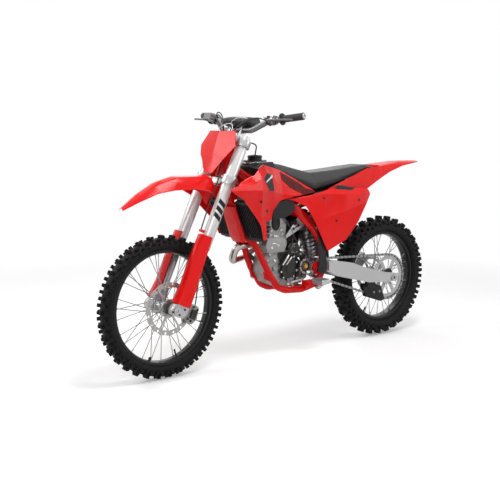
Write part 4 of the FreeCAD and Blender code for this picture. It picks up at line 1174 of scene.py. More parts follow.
@dataclass(frozen=True)
class SpokedWheel:
    """What a rim carries: the spoke nipples, the valve and the rim lock, in millimetres and degrees."""

    name: str
    body: Body
    centre: Vector
    reach: float
    valve_turn: float

    LACING = 56.0
    SPOKES_A_SET = 9
    SET_LATE = 0.25
    LEAN_LATE = 0.5
    FLANGE_HALF = 7.0
    FLANGE_STEP = 3.0
    NIPPLE = Turned(3.2, 13.0, 8, ((0.9, 3.0),))
    NIPPLE_MIDDLE = 6.0
    VALVE = Turned(4.2, 34.0, 10, ((1.0, 0.0), (0.0, 3.0)))
    RIM_LOCK = Turned(7.5, 16.0, 10, ((1.0, 0.0), (0.0, 3.0)))
    LOCK_TURN = 34.0
    STEM_SUNK = 3.0

    def build(self) -> None:
        """Build the small pieces of the rim."""
        self.nipples()
        self.valve()

    def nipples(self) -> None:
        """Set a nipple on the end of each spoke."""
        pattern = self.NIPPLE.at("nipple", UP * -self.NIPPLE_MIDDLE * MM, -UP)
        places = []
        for side in (1, -1):
            for lean in (1, -1):
                beside = LEFT * side * (self.FLANGE_HALF + self.FLANGE_STEP * lean) * MM
                for index in range(self.SPOKES_A_SET):
                    late = self.SET_LATE * (side > 0) + self.LEAN_LATE * (lean > 0)
                    angle = math.radians(360 / self.SPOKES_A_SET * (index + late) + lean * self.LACING)
                    out = Vector((math.cos(angle), 0.0, -math.sin(angle)))
                    places.append(stood(self.centre + out * self.reach * MM + beside, out))
        piece = repeated(pattern, self.name + "_nipples", places)
        finished(piece, MACHINED, self.body, shade=40.0)

    def valve(self) -> None:
        """Set the valve stem, and the rim lock's nut beside it."""
        parts = []
        for shape, late in ((self.VALVE, 0.0), (self.RIM_LOCK, self.LOCK_TURN)):
            angle = math.radians(self.valve_turn + late)
            out = Vector((math.cos(angle), 0.0, math.sin(angle)))
            middle = self.centre + out * (self.reach - shape.depth / 2 + self.STEM_SUNK) * MM
            parts.append(shape.at("valve", middle, -out))
        finished(joined(self.name + "_valve", parts), BLACK_PLASTIC, self.body, shade=40.0)


WHEELS = (SpokedWheel("front_wheel", Body.FRONT_WHEEL, FRONT_AXLE, reach=261.0, valve_turn=-107.0),
          SpokedWheel("rear_wheel", Body.REAR_WHEEL, REAR_AXLE, reach=234.0, valve_turn=-60.0))


@dataclass(frozen=True)
class HoleRing:
    """A ring of holes through a disc, in millimetres, late by a share of their pitch."""

    reach: float
    count: int
    radius: float
    late: float


@dataclass(frozen=True)
class DrilledDisc:
    """A brake disc with its holes cut through."""

    node: str
    body: Body
    centre: Vector
    rings: tuple[HoleRing, ...]

    DRILL_DEPTH = 20.0
    DRILL_SIDES = 10

    def build(self, frame: dict) -> None:
        """Cut the rings of holes through a copy of the disc.
        """
        low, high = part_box(self.node)
        piece = copied(frame, self.node, self.node + "_drilled")
        drills = []
        for holes in self.rings:
            angles = [2 * math.pi * (index + holes.late) / holes.count for index in range(holes.count)]
            for spot in around(self.centre, holes.reach, angles):
                spot.y = (low.y + high.y) / 2
                drills.append(drum("drill", spot, LEFT, holes.radius, self.DRILL_DEPTH, self.DRILL_SIDES))
        drill = joined("drill", drills)
        applied(piece, "BOOLEAN", operation="DIFFERENCE", solver="EXACT", object=drill)
        bpy.data.objects.remove(drill)
        smoothed(piece, 30.0)
        settle(piece, DISC_STEEL, self.body, self.node)


DISCS = (
    DrilledDisc("front_disc", Body.FRONT_WHEEL, FRONT_AXLE,
                (HoleRing(118.0, 16, 6.8, 0.5), HoleRing(103.5, 16, 4.2, 0.0))),
    DrilledDisc("rear_disc", Body.REAR_WHEEL, REAR_AXLE,
                (HoleRing(100.0, 13, 5.0, 0.5), HoleRing(87.0, 13, 3.0, 0.0))),
)


@dataclass(frozen=True)
class Chain:
    """The roller chain, link by link round both sprockets, in millimetres."""

    links: int = 119
    large: float = 126.4
    small: float = 35.7
    side: float = 72.0
    plate_half: float = 6.0
    plate_thick: float = 1.5
    shaft: tuple[float, float] = (630.0, 465.0)
    axle: tuple[float, float] = (0.0, 340.0)
    outer: tuple[float, float] = (5.2, 2.6)
    inner: tuple[float, float] = (3.4, 4.6)
    pin_over: float = 3.0

    def pins(self) -> list[Vector]:
        """Return where the pins stand, in order along the chain."""
        start, end = Vector(self.axle), Vector(self.shaft)
        along = end - start
        lean = math.atan2(along.y, along.x)
        spread = math.acos((self.large - self.small) / along.length)
        run = along.length * math.sin(spread)
        front, back = 2 * spread * self.small, 2 * (math.pi - spread) * self.large
        spots = []
        for index in range(self.links):
            gone = (2 * run + front + back) * index / self.links
            angle, hub, radius, ahead = lean + spread, start, self.large, gone
            if run <= gone < run + front:
                angle, hub, radius, ahead = angle - (gone - run) / self.small, end, self.small, 0.0
            elif run + front <= gone < 2 * run + front:
                angle, hub, radius, ahead = lean - spread, end, self.small, gone - run - front
            elif gone >= 2 * run + front:
                angle, ahead = lean - spread - (gone - 2 * run - front) / self.large, 0.0
            out = Vector((math.cos(angle), math.sin(angle)))
            spots.append(hub + out * radius + Vector((out.y, -out.x)) * ahead)
        return [ground(spot.x, self.side, spot.y) for spot in spots]

    def link(self, pitch: float, wide: float, pin: float) -> Piece:
        """Shape one link: two plates drawn out from pin to pin, and its rollers or pin heads.

        Args:
            pitch: The way from pin to pin in metres.
            wide: How far each plate stands from the middle.
            pin: The radius of its rollers or pins.

        Returns:
            The link, along its own x axis.
        """
        parts = []
        for side in (1.0, -1.0):
            cheek = drum("cheek", LEFT * side * wide * MM, LEFT, self.plate_half, self.plate_thick, 12)
            with editing(cheek):
                picked(cheek, lambda middle, normal: normal.x > 0.3)
                bpy.ops.transform.translate(value=(pitch, 0.0, 0.0))
            parts.append(cheek)
        for place in (0.0, pitch):
            parts.append(drum("pin", Vector((place, 0.0, 0.0)), LEFT, pin, 2 * wide + self.pin_over, 8))
        return joined("link", parts)

    def build(self) -> None:
        """Build the chain from outer and inner links in turn."""
        spots = self.pins()
        pitch = (spots[1] - spots[0]).length
        halves = []
        for first, (wide, pin), finish in ((0, self.outer, SPOKE_STEEL), (1, self.inner, CHAIN_STEEL)):
            places = []
            for index in range(first, self.links, 2):
                start, end = spots[index], spots[(index + 1) % self.links]
                ahead = (end - start).normalized()
                turn = Matrix((ahead, LEFT, ahead.cross(LEFT))).transposed().to_4x4()
                places.append(Matrix.Translation(start) @ turn)
            half = repeated(self.link(pitch, wide, pin), "chain_links", places)
            half.data.materials.append(finish.material())
            halves.append(half)
        piece = joined("chain_links", halves)
        smoothed(piece, 40.0)
        settle(piece, CHAIN_STEEL, Body.CHASSIS, "chain")


# Soft pieces

@dataclass(frozen=True)
class Cushion:
    """A padded piece: the model's solid, swelled by cloth under pressure, with its sizes in millimetres."""

    node: str
    finish: Finish
    body: Body
    voxel: float
    cap: float
    fill: float = 0.9
    pressure: float = 4.0
    steps: int = 14
    evened: int = 3

    def build(self, frame: dict) -> None:
        """Swell the copy of the node and keep each point near where it was.
        """
        piece = copied(frame, self.node, self.node + "_padded", flat=False)
        applied(piece, "REMESH", mode="VOXEL", voxel_size=self.voxel * MM)
        before = [spot.co.copy() for spot in piece.data.vertices]
        self.swell(piece)
        for spot, old in zip(piece.data.vertices, before):
            moved = spot.co - old
            if moved.length > self.cap * MM:
                spot.co = old + moved.normalized() * self.cap * MM
        applied(piece, "SMOOTH", iterations=self.evened)
        applied(piece, "SUBSURF", levels=1, render_levels=1)
        smoothed(piece, 180.0)
        settle(piece, self.finish, self.body, self.node)

    def swell(self, piece: Piece) -> None:
        """Run the cloth and keep its last shape."""
        cloth = piece.modifiers.new("Swell", "CLOTH")
        cloth.settings.use_pressure = True
        cloth.settings.uniform_pressure_force = self.pressure
        cloth.settings.effector_weights.gravity = 0.0
        scene = bpy.context.scene
        cloth.point_cache.frame_start = 1
        cloth.point_cache.frame_end = self.steps
        for step in range(1, self.steps + 1):
            scene.frame_set(step)
        alone(piece)
        bpy.ops.object.modifier_apply(modifier=cloth.name)
        scene.frame_set(1)


CUSHIONS = (Cushion("seat", SEAT_VINYL, Body.CHASSIS, voxel=7.0, cap=3.0),
            Cushion("bar_pad", PAD_COVER, Body.STEERING, voxel=4.5, cap=5.0))


# Engine

@dataclass
class Crankcase:
    """The seam, bosses, ribs, plugs and screws on the crankcase and its ignition cover."""

    outline: Outline = ((597, 512), (597, 424), (640, 376), (700, 362), (784, 366), (850, 396), (888, 452),
                        (884, 520), (868, 552), (700, 552), (640, 536))
    ignition: Outline = ((786, 450), (776, 490), (742, 520), (702, 520), (684, 491), (684, 448), (704, 419),
                         (742, 408), (772, 419))
    wall: float = 48.0
    face: float = 50.0
    boss: Turned = Turned(7.0, 9.0, 14, ((1.2, 1.6),))
    boss_middle: float = 2.0
    boss_top: float = 8.5
    boss_share: float = 0.93
    seam_share: float = 1.012
    seam_half: float = 2.5
    lug: Turned = Turned(7.5, 16.0, 14)
    lug_middle: float = 8.0
    lug_top: float = 64.5
    lug_share: float = 1.03
    rib_deep: float = 5.0
    rib_wide: float = 3.6
    ribs: tuple[tuple[tuple[float, float], tuple[float, float]], ...] = (
        ((868, 530), (800, 548)), ((880, 500), (800, 520)), ((884, 470), (800, 486)),
        ((874, 436), (796, 446)), ((846, 402), (790, 420)), ((800, 372), (772, 404)))
    hubs: tuple[Point, ...] = ((664, 398, 13.0), (618, 409, 14.0), (709, 381, 12.0), (820, 470, 15.0),
                               (850, 420, 9.0))
    hub_depth: float = 12.0
    hub_steps: Steps = ((2.0, 2.0), (3.0, -2.0))
    plugs: tuple[tuple[float, float, float, float, int], ...] = (
        (800, 54, 590, 9.0, 6), (842, 54, 580, 7.0, 18), (780, 54, 668, 8.0, 18), (846, 54, 668, 6.0, 18),
        (862, 52, 470, 9.0, 6), (832, 52, 436, 7.0, 18), (822, 52, 512, 8.0, 18))
    plug_depth: float = 8.0
    plug_steps: Steps = ((2.0, 0.0), (0.0, -2.0))

    def build(self) -> None:
        """Build everything that stands on the crankcase."""
        self.bosses()
        self.lugs()
        self.cast_ribs()
        self.bright_plugs()

    def bosses(self) -> None:
        """Stand the screw bosses on both sides of the case, and lay its seam between them."""
        feet = [(ground(x, side * self.wall, z), LEFT * side)
                for side in (1.0, -1.0) for x, z in grown(self.outline, self.boss_share)]
        pattern = self.boss.at("boss", UP * self.boss_middle * MM, UP)
        piece = repeated(pattern, "case_bosses", [stood(foot, out) for foot, out in feet])
        finished(piece, CAST_ALLOY, Body.CHASSIS, shade=40.0)
        seam = plate("case_seam", grown(self.outline, self.seam_share), -self.seam_half, self.seam_half)
        rounded(seam, 0.8, 1)
        settle(seam, CAST_ALLOY, Body.CHASSIS)
        tops = [(foot + out * self.boss_top * MM, out) for foot, out in feet]
        Screws("case_screws", Body.CHASSIS, POLISHED, 4.2, 4.0, tops).build()

    def lugs(self) -> None:
        """Stand the screw lugs round the ignition cover."""
        places = grown(self.ignition, self.lug_share)
        pattern = self.lug.at("lug", UP * self.lug_middle * MM, UP)
        piece = repeated(pattern, "cover_lugs", [stood(ground(x, self.wall, z), LEFT) for x, z in places])
        finished(piece, DARK_CAST, Body.CHASSIS, shade=40.0)
        tops = [(ground(x, self.lug_top, z), LEFT) for x, z in places]
        Screws("cover_screws", Body.CHASSIS, POLISHED, 4.6, 4.0, tops).build()

    def cast_ribs(self) -> None:
        """Cast the ribs and hubs on the left half of the case."""
        parts = []
        for (x1, z1), (x2, z2) in self.ribs:
            start, end = ground(x1, self.face, z1), ground(x2, self.face, z2)
            parts.append(laid("rib", start, end, self.rib_deep, self.rib_wide))
        for x, z, radius in self.hubs:
            hub = Turned(radius, self.hub_depth, 20, self.hub_steps)
            parts.append(hub.at("hub", ground(x, self.face, z), LEFT))
        finished(joined("case_ribs", parts), CAST_ALLOY, Body.CHASSIS, edge=0.8)

    def bright_plugs(self) -> None:
        """Screw the bright plugs into the case and the cylinder."""
        parts = [Turned(radius, self.plug_depth, sides, self.plug_steps).at("plug", ground(x, y, z), LEFT)
                 for x, y, z, radius, sides in self.plugs]
        finished(joined("case_plugs", parts), POLISHED, Body.CHASSIS, edge=0.6)


@dataclass
class CaseCovers:
    """The dark covers behind the ignition cover, the heat shield on the right, and the bright strips."""

    sprocket_cover: Outline = ((702, 548), (668, 560), (610, 522), (600, 500), (606, 430), (642, 386),
                               (690, 378), (682, 410), (672, 448), (672, 494), (690, 526))
    breather_cover: Outline = ((800, 550), (704, 552), (690, 534), (696, 528), (744, 528), (780, 498),
                               (796, 520))
    heat_shield: Outline = ((738, 548), (742, 600), (738, 700), (722, 770), (640, 778), (590, 740),
                            (566, 680), (560, 620), (584, 572), (640, 540), (668, 548))
    cover_foot: float = 47.0
    sprocket_top: float = 57.0
    breather_top: float = 54.0
    shield_sides: tuple[float, float] = (-47.0, -43.0)
    sunk: float = 2.5
    strip_deep: float = 5.0
    strips: tuple[tuple[Point, Point, float], ...] = (
        ((780, 67, 484), (736, 67, 534), 9.0), ((754, 67, 484), (716, 67, 522), 7.0),
        ((826, 51, 640), (792, 51, 632), 7.0), ((816, 51, 622), (786, 51, 612), 6.0),
        ((842, 55, 604), (806, 55, 596), 5.0), ((668, 58, 512), (640, 58, 480), 8.0),
        ((664, 58, 460), (648, 58, 424), 7.0))

    def build(self) -> None:
        """Close the back of the crankcase and lay its bright strips."""
        covers = []
        for outline, top, inset in ((self.sprocket_cover, self.sprocket_top, 4.0),
                                    (self.breather_cover, self.breather_top, 3.0)):
            cover = plate("cover", outline, self.cover_foot, top)
            covers.append(stepped(cover, LEFT, ((inset, 0.0), (0.0, -self.sunk))))
        covers.append(plate("heat_shield", self.heat_shield, *self.shield_sides))
        finished(joined("case_dark_covers", covers), DARK_CAST, Body.CHASSIS, edge=1.4, segments=2)
        strips = [laid("strip", ground(*start), ground(*end), self.strip_deep, wide)
                  for start, end, wide in self.strips]
        finished(joined("case_bright_ribs", strips), POLISHED, Body.CHASSIS, edge=1.4, segments=2)


@dataclass
class CylinderDress:
    """The ledges, nuts and covers of the cylinder and its head."""

    ledge_half: float = 50.0
    ledge_inset: float = 8.0
    ledges: tuple[Point, ...] = ((630.0, 5.0, 6.0), (655.0, 2.5, 3.0), (676.0, 2.5, 3.0), (697.0, 2.5, 3.0),
                                 (764.0, 4.0, 5.0))
    nuts: Outline = ((772, 752), (850, 752), (772, 645), (850, 645))
    face: float = 50.0
    oval_middle: Point = (812.0, 49.0, 706.0)
    oval_size: Point = (0.027, 0.040, 0.012)
    oval_steps: Steps = ((3.0, 2.0), (5.0, -1.6))
    cam_screw_inset: float = 14.0
    cam_screw_half: float = 34.0
    cam_screw_sunk: float = 0.5

    def build(self) -> None:
        """Build everything on the cylinder and the head."""
        self.cast_ledges()
        self.oval_cover()
        low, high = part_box("head_cover")
        top = high.z - self.cam_screw_sunk * MM
        spots = [(Vector((x, y * MM, top)), UP)
                 for x in (low.x + self.cam_screw_inset * MM, high.x - self.cam_screw_inset * MM)
                 for y in (-self.cam_screw_half, self.cam_screw_half)]
        Screws("cam_cover_screws", Body.CHASSIS, SPOKE_STEEL, 5.5, 5.0, spots).build()
        spots = [(ground(x, self.face, z), LEFT) for x, z in self.nuts]
        Screws("cylinder_nuts", Body.CHASSIS, POLISHED, 6.0, 5.0, spots, sides=6).build()

    def cast_ledges(self) -> None:
        """Cast the ledges round the cylinder, each with its height, its reach and its thickness."""
        low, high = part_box("cylinder")
        middle = (low + high) / 2
        parts = []
        for z, over, thick in self.ledges:
            place = Vector((middle.x, 0.0, ground(0.0, 0.0, z).z))
            long = (high.x - low.x) / MM + over - self.ledge_inset
            parts.append(block("ledge", place, (long, 2 * (self.ledge_half + over), thick)))
        finished(joined("cylinder_ledges", parts), CAST_ALLOY, Body.CHASSIS, edge=1.2, segments=2)

    def oval_cover(self) -> None:
        """Set the oval cover on the left side of the head."""
        bpy.ops.mesh.primitive_cylinder_add(vertices=32, radius=1.0, depth=1.0,
                                            rotation=(math.pi / 2, 0.0, 0.0),
                                            location=ground(*self.oval_middle))
        oval = stepped(named("head_oval_cover", self.oval_size), LEFT, self.oval_steps)
        finished(oval, BLACK_PLASTIC, Body.CHASSIS, edge=0.8, segments=2)


@dataclass
class Starter:
    """The band, end cap and screws of the starter motor."""

    axis: tuple[float, float] = (690.0, 566.0)
    band_middle: float = 30.0
    band_radius: float = 26.0
    band_wide: float = 16.0
    band_thick: float = 2.2
    cap: Turned = Turned(24.0, 8.0, 28, ((3.0, 2.0), (9.0, -2.0), (2.0, 3.0)))
    cap_middle: float = 68.0
    screw_reach: float = 19.0
    screw_foot: float = 71.0
    screw_angles: tuple[float, ...] = (0.6, 2.7, 4.6)

    def build(self) -> None:
        """Dress the starter motor."""
        x, z = self.axis
        band = ring("starter_band", ground(x, self.band_middle, z), LEFT, self.band_radius, self.band_wide,
                    self.band_thick)
        cap = self.cap.at("starter_cap", ground(x, self.cap_middle, z), LEFT)
        rounded(cap, 0.8, 1)
        finished(joined("starter_dress", [band, cap]), DARK_CAST, Body.CHASSIS)
        places = around(ground(x, self.screw_foot, z), self.screw_reach, self.screw_angles)
        spots = [(place, LEFT) for place in places]
        Screws("starter_screws", Body.CHASSIS, SPOKE_STEEL, 3.4, 4.0, spots).build()


@dataclass
class Intake:
    """The throttle body with its spindles, and the clamps of the inlet tract."""

    body_middle: Point = (690.0, 24.0, 684.0)
    body_size: Point = (34.0, 62.0, 56.0)
    spindles: tuple[Point, ...] = ((690, 700, 15.0), (700, 668, 9.0))
    spindle_side: float = 56.0
    spindle_depth: float = 12.0
    spindle_steps: Steps = ((3.0, 3.0), (3.0, -1.5))
    tract: Point = (-0.98, 0.16, -0.1)
    clamps: tuple[Point, ...] = ((660, 23, 679), (600, 37, 668))
    clamp_radius: float = 24.0
    clamp_wide: float = 8.0
    clamp_thick: float = 1.2

    def build(self) -> None:
        """Build the throttle body and its clamps."""
        body = block("throttle_body", ground(*self.body_middle), self.body_size)
        rounded(body, 6.0, 3)
        parts = [body]
        for x, z, radius in self.spindles:
            spindle = Turned(radius, self.spindle_depth, 20, self.spindle_steps)
            parts.append(spindle.at("spindle", ground(x, self.spindle_side, z), LEFT))
        finished(joined("throttle_body", parts), DARK_CAST, Body.CHASSIS)
        clamps = [ring("clamp", ground(*spot), Vector(self.tract), self.clamp_radius, self.clamp_wide,
                       self.clamp_thick) for spot in self.clamps]
        settle(joined("inlet_clamps", clamps), SPOKE_STEEL, Body.CHASSIS)


@dataclass
class OutputNut:
    """The gold nut and washer on the output shaft."""

    shaft: tuple[float, float] = (630.0, 465.0)
    nut: Turned = Turned(13.0, 8.0, 6, ((4.0, 0.0), (0.0, -4.0)))
    nut_middle: float = 80.0
    washer: Turned = Turned(17.0, 2.0)
    washer_middle: float = 76.0

    def build(self) -> None:
        """Set the nut and its washer."""
        x, z = self.shaft
        nut = self.nut.at("output_nut", ground(x, self.nut_middle, z), LEFT)
        rounded(nut, 0.8, 1)
        washer = self.washer.at("washer", ground(x, self.washer_middle, z), LEFT)
        finished(joined("output_nut", [nut, washer]), GOLD_CAP, Body.CHASSIS)


@dataclass
class Cooling:
    """The top and bottom tanks of both radiators."""

    outlines: tuple[Outline, ...] = (((1030, 842), (1066, 834), (1073, 852), (1040, 864)),
                                     ((964, 640), (988, 630), (996, 648), (966, 660)))
    inner: float = 52.0
    outer: float = 152.0

    def build(self) -> None:
        """Fold the four tanks."""
        tanks = [plate("tank", outline, *sorted((side * self.inner, side * self.outer)))
                 for outline in self.outlines for side in (1.0, -1.0)]
        finished(joined("radiator_end_tanks", tanks), DARK_CAST, Body.CHASSIS, edge=3.0, segments=3)


ENGINE_RUNS = (
    Run("coolant_pipe_left", 11.0, ((1002, 84, 668), (992, 78, 640), (940, 62, 640), (885, 46, 668),
                                    (846, 40, 690))),
    Run("coolant_pipe_low", 10.0, ((990, -80, 662), (980, -70, 620), (930, -60, 560), (884, -46, 520),
                                   (860, -50, 490))),
    Run("starter_lead", 3.4, ((676, 66, 590), (660, 60, 622), (640, 40, 640), (600, 20, 610), (566, 10, 560),
                              (548, 0, 520))),
    Run("case_breather", 6.0, ((655, 40, 540), (640, 52, 580), (600, 60, 604), (566, 46, 640),
                               (560, 30, 676))),
    Run("wiring_loom", 4.0, ((742, 56, 520), (726, 62, 560), (700, 58, 610), (690, 40, 650), (650, 30, 700),
                             (620, 24, 735))),
    Run("coil_lead", 4.5, ((812, 0, 826), (800, 24, 850), (770, 40, 850), (730, 46, 820), (716, 36, 770))),
    Run("shock_pipe", 5.0, ((540, -20, 690), (570, 10, 720), (600, 20, 690), (604, 0, 640),
                            (590, -20, 600))),
    Run("clutch_pipe", 3.4, ((880, 40, 830), (850, 58, 790), (760, 58, 740), (700, 60, 640), (660, 58, 560),
                             (640, 56, 520))),
    Run("tank_vent_pipe", 3.4, ((908, 0, 1050), (908, 8, 1076), (920, 30, 1100), (946, 46, 1116),
                                (972, 40, 1120))),
)


@dataclass
class TankTop:
    """The bright band and the lid on the tank's neck."""

    neck: tuple[float, float] = (908.0, 0.0)
    band_height: float = 1019.0
    band_radius: float = 60.0
    band_wide: float = 9.0
    band_thick: float = 4.0
    lid: Turned = Turned(38.0, 8.0, 36, ((4.0, 3.0), (10.0, -2.0), (8.0, 4.0)))
    lid_height: float = 1048.0

    def build(self) -> None:
        """Build the band and the lid."""
        band = ring("tank_band", ground(*self.neck, self.band_height), UP, self.band_radius, self.band_wide,
                    self.band_thick)
        settle(band, POLISHED, Body.CHASSIS)
        lid = self.lid.at("tank_lid", ground(*self.neck, self.lid_height), UP)
        finished(lid, BLACK_PLASTIC, Body.CHASSIS, edge=0.8, segments=2)


# Steering head, bar and fork

COCKPIT_RUNS = (
    Run("throttle_cable_1", 3.2, ((-2, -214, 1016), (24, -190, 1022), (56, -150, 1028), (76, -106, 1022),
                                  (82, -70, 1008), (80, -44, 980), (70, -30, 940), (46, -28, 900))),
    Run("throttle_cable_2", 3.2, ((-6, -208, 1008), (22, -180, 1010), (54, -140, 1014), (80, -96, 1006),
                                  (88, -60, 990), (86, -30, 962), (74, -20, 926), (50, -20, 896))),
    Run("clutch_line", 3.4, ((10, 214, 1004), (40, 190, 1010), (66, 150, 990), (70, 96, 960), (62, 50, 930),
                             (50, 30, 890))),
    Run("switch_lead", 2.2, ((-4, 150, 996), (20, 120, 990), (20, 60, 966), (30, 30, 930))),
    Run("front_brake_line", 3.2, ((30, -186, 998), (64, -150, 1010), (86, -90, 984), (84, -20, 920),
                                  (62, 44, 820), (58, 62, 740), (60, 72, 640), (62, 76, 540), (62, 80, 440),
                                  (60, 84, 398))),
    Run("front_brake_line_low", 3.2, ((44, 92, 396), (20, 74, 372), (-16, 70, 300), (-40, 66, 200),
                                      (-66, 62, 110), (-80, 61, 70), (-78, 61, 48))),
    # The two thin white lines along the bar pad's front edges are painted highlights, drawn where light
    # catches the pad's edges.
    Run("pad_piping_1", 1.9, ((86, -40, 902), (88, -38, 920), (86, -22, 944), (84, 10, 956), (84, 44, 956),
                              (88, 66, 940), (90, 74, 920), (90, 76, 902)), WHITE_PRINT_AND_HIGHLIGHT),
    Run("pad_piping_2", 1.9, ((60, 4, 972), (66, 20, 986), (62, 50, 998), (54, 80, 1004), (48, 100, 1000)),
        WHITE_PRINT_AND_HIGHLIGHT),
)


@dataclass
class ForkMarks:
    """Three plain slanted bars round the front of each outer fork tube, in millimetres."""

    tube: tuple[float, float] = (22.0, 105.0)
    radius: float = 29.2
    first: float = 490.0
    pitch: float = 34.0
    count: int = 3
    sleeve: float = 90.0
    half_height: float = 11.0
    half_wide: float = 19.0
    ahead: float = 0.35
    slant: float = 0.55
    thick: float = 0.3

    def build(self) -> None:
        """Lay the bars on both tubes."""
        marks = [self.mark(side, self.first + self.pitch * step)
                 for side in (1.0, -1.0) for step in range(self.count)]
        piece = joined("fork_marks", marks)
        walled(piece, self.thick)
        finished(piece, BLACK_PLASTIC, Body.STEERING)

    def mark(self, side: float, height: float) -> Piece:
        """Cut one bar out of a sleeve round the tube."""
        middle = fork_frame(self.tube[0], side * self.tube[1], height)
        bpy.ops.mesh.primitive_cylinder_add(vertices=64, radius=self.radius * MM, depth=self.sleeve * MM,
                                            end_fill_type="NOTHING", location=middle,
                                            rotation=(0.0, -RAKE, 0.0))
        piece = named("mark")
        out = (FORK_AHEAD * self.ahead + LEFT * side).normalized()
        across = FORK_UP.cross(out)
        slant = (FORK_UP + across * side * self.slant).normalized()
        high, wide = FORK_UP * self.half_height * MM, across * self.half_wide * MM
        with editing(piece):
            trimmed(((middle + high, slant), (middle - high, -slant), (middle + wide, across),
                     (middle - wide, -across), (middle, -out)))
        return piece


@dataclass
class Clamps:
    """The pinch screws of both fork clamps, the stem nut, the fork caps and the bar's end plugs."""

    screw_heights: tuple[float, ...] = (668.0, 688.0, 876.0)
    back_screw: tuple[float, float] = (-12.0, 78.0)
    front_screw: tuple[float, float] = (54.0, 88.0)
    nut: Turned = Turned(17.0, 12.0, 6, ((4.0, 3.0), (5.0, -4.0)))
    nut_height: float = 900.0
    cap: Turned = Turned(20.0, 8.0, 28, ((3.0, 2.0), (6.0, 0.0), (2.0, -3.0), (3.0, 4.0)))
    cap_place: Point = (22.0, 105.0, 910.0)
    bar_inner: Point = (-4.0, 208.0, 1012.0)
    bar_end: Point = (-40.0, 402.0, 1056.0)
    plug: Turned = Turned(14.0, 4.0, 24, ((2.0, 1.0), (5.0, -2.5)))
    plug_out: float = 0.5

    def build(self) -> None:
        """Build the pieces on the clamps and the bar's ends."""
        self.plugs()
        spots = []
        for z in self.screw_heights:
            for side in (1.0, -1.0):
                for (x, y), way in ((self.back_screw, -FORK_AHEAD), (self.front_screw, FORK_AHEAD)):
                    spots.append((fork_frame(x, side * y, z), way))
        Screws("clamp_screws", Body.STEERING, SPOKE_STEEL, 5.0, 6.0, spots).build()
        nut = self.nut.at("stem_nut", fork_frame(0.0, 0.0, self.nut_height), FORK_UP)
        finished(nut, MACHINED, Body.STEERING, edge=1.0, segments=2)
        x, y, z = self.cap_place
        caps = [self.cap.at("cap", fork_frame(x, side * y, z), FORK_UP) for side in (1.0, -1.0)]
        finished(joined("fork_caps", caps), MACHINED, Body.STEERING, edge=0.7)

    def plugs(self) -> None:
        """Plug both ends of the bar."""
        plugs = []
        for side in (1.0, -1.0):
            inner, end = (fork_frame(x, side * y, z) for x, y, z in (self.bar_inner, self.bar_end))
            way = (end - inner).normalized()
            plugs.append(self.plug.at("plug", end + way * self.plug_out * MM, way))
        finished(joined("bar_end_plugs", plugs), MACHINED, Body.STEERING, edge=0.5)


@dataclass
class Controls:
    """The throttle housing, the switch, the perch clamps and the line's clip."""

    bar_way: Point = (-36.0, 194.0, 44.0)
    housing: Turned = Turned(20.0, 24.0, 28, ((2.0, 2.0), (0.0, 3.0)))
    housing_place: Point = (-15.6, -270.5, 1026.0)
    elbow_place: Point = (4.0, -262.0, 1036.0)
    elbow_size: Point = (30.0, 16.0, 14.0)
    elbow_turn: Point = (0.0, -RAKE, 0.3)
    switch_place: Point = (-6.0, 205.0, 1014.0)
    switch_size: Point = (34.0, 20.0, 40.0)
    switch_turn: Point = (0.0, -RAKE, -0.18)
    button: Turned = Turned(7.0, 10.0, 16)
    button_place: Point = (-26.0, 205.0, 1020.0)
    clamp_place: Point = (-8.7, 233.0, 1017.6)
    clamp_radius: float = 21.2
    clamp_wide: float = 14.0
    clamp_thick: float = 3.0
    adjuster: Turned = Turned(8.0, 9.0, 14, ((2.5, 0.0), (0.0, 8.0)))
    adjuster_place: Point = (34.0, 216.0, 1006.0)
    adjuster_way: Point = (0.2, -1.0, 0.0)
    clip_place: Point = (58.0, 92.0, 402.0)
    clip_size: Point = (26.0, 22.0, 12.0)

    def build(self) -> None:
        """Build the controls round the bar, and the clip on the fork guard."""
        left = (fork_frame(*self.bar_way) - FORK_FOOT).normalized()
        right = Vector((left.x, -left.y, left.z))
        parts = [self.housing.at("housing", fork_frame(*self.housing_place), right),
                 block("elbow", fork_frame(*self.elbow_place), self.elbow_size, self.elbow_turn),
                 block("switch", fork_frame(*self.switch_place), self.switch_size, self.switch_turn),
                 self.button.at("button", fork_frame(*self.button_place), -FORK_AHEAD)]
        finished(joined("bar_controls", parts), BLACK_PLASTIC, Body.STEERING, edge=2.0, segments=2)
        x, y, z = self.clamp_place
        size = (self.clamp_radius, self.clamp_wide, self.clamp_thick)
        parts = [ring("clamp", fork_frame(x, side * y, z), way, *size)
                 for side, way in ((1.0, left), (-1.0, right))]
        adjuster_place = fork_frame(*self.adjuster_place)
        parts.append(self.adjuster.at("adjuster", adjuster_place, Vector(self.adjuster_way)))
        finished(joined("perch_clamps", parts), SPOKE_STEEL, Body.STEERING)
        clip = block("line_clip", fork_frame(*self.clip_place), self.clip_size, (0.0, -RAKE, 0.0))
        finished(clip, RED_PLASTIC, Body.STEERING, edge=2.0, segments=2)


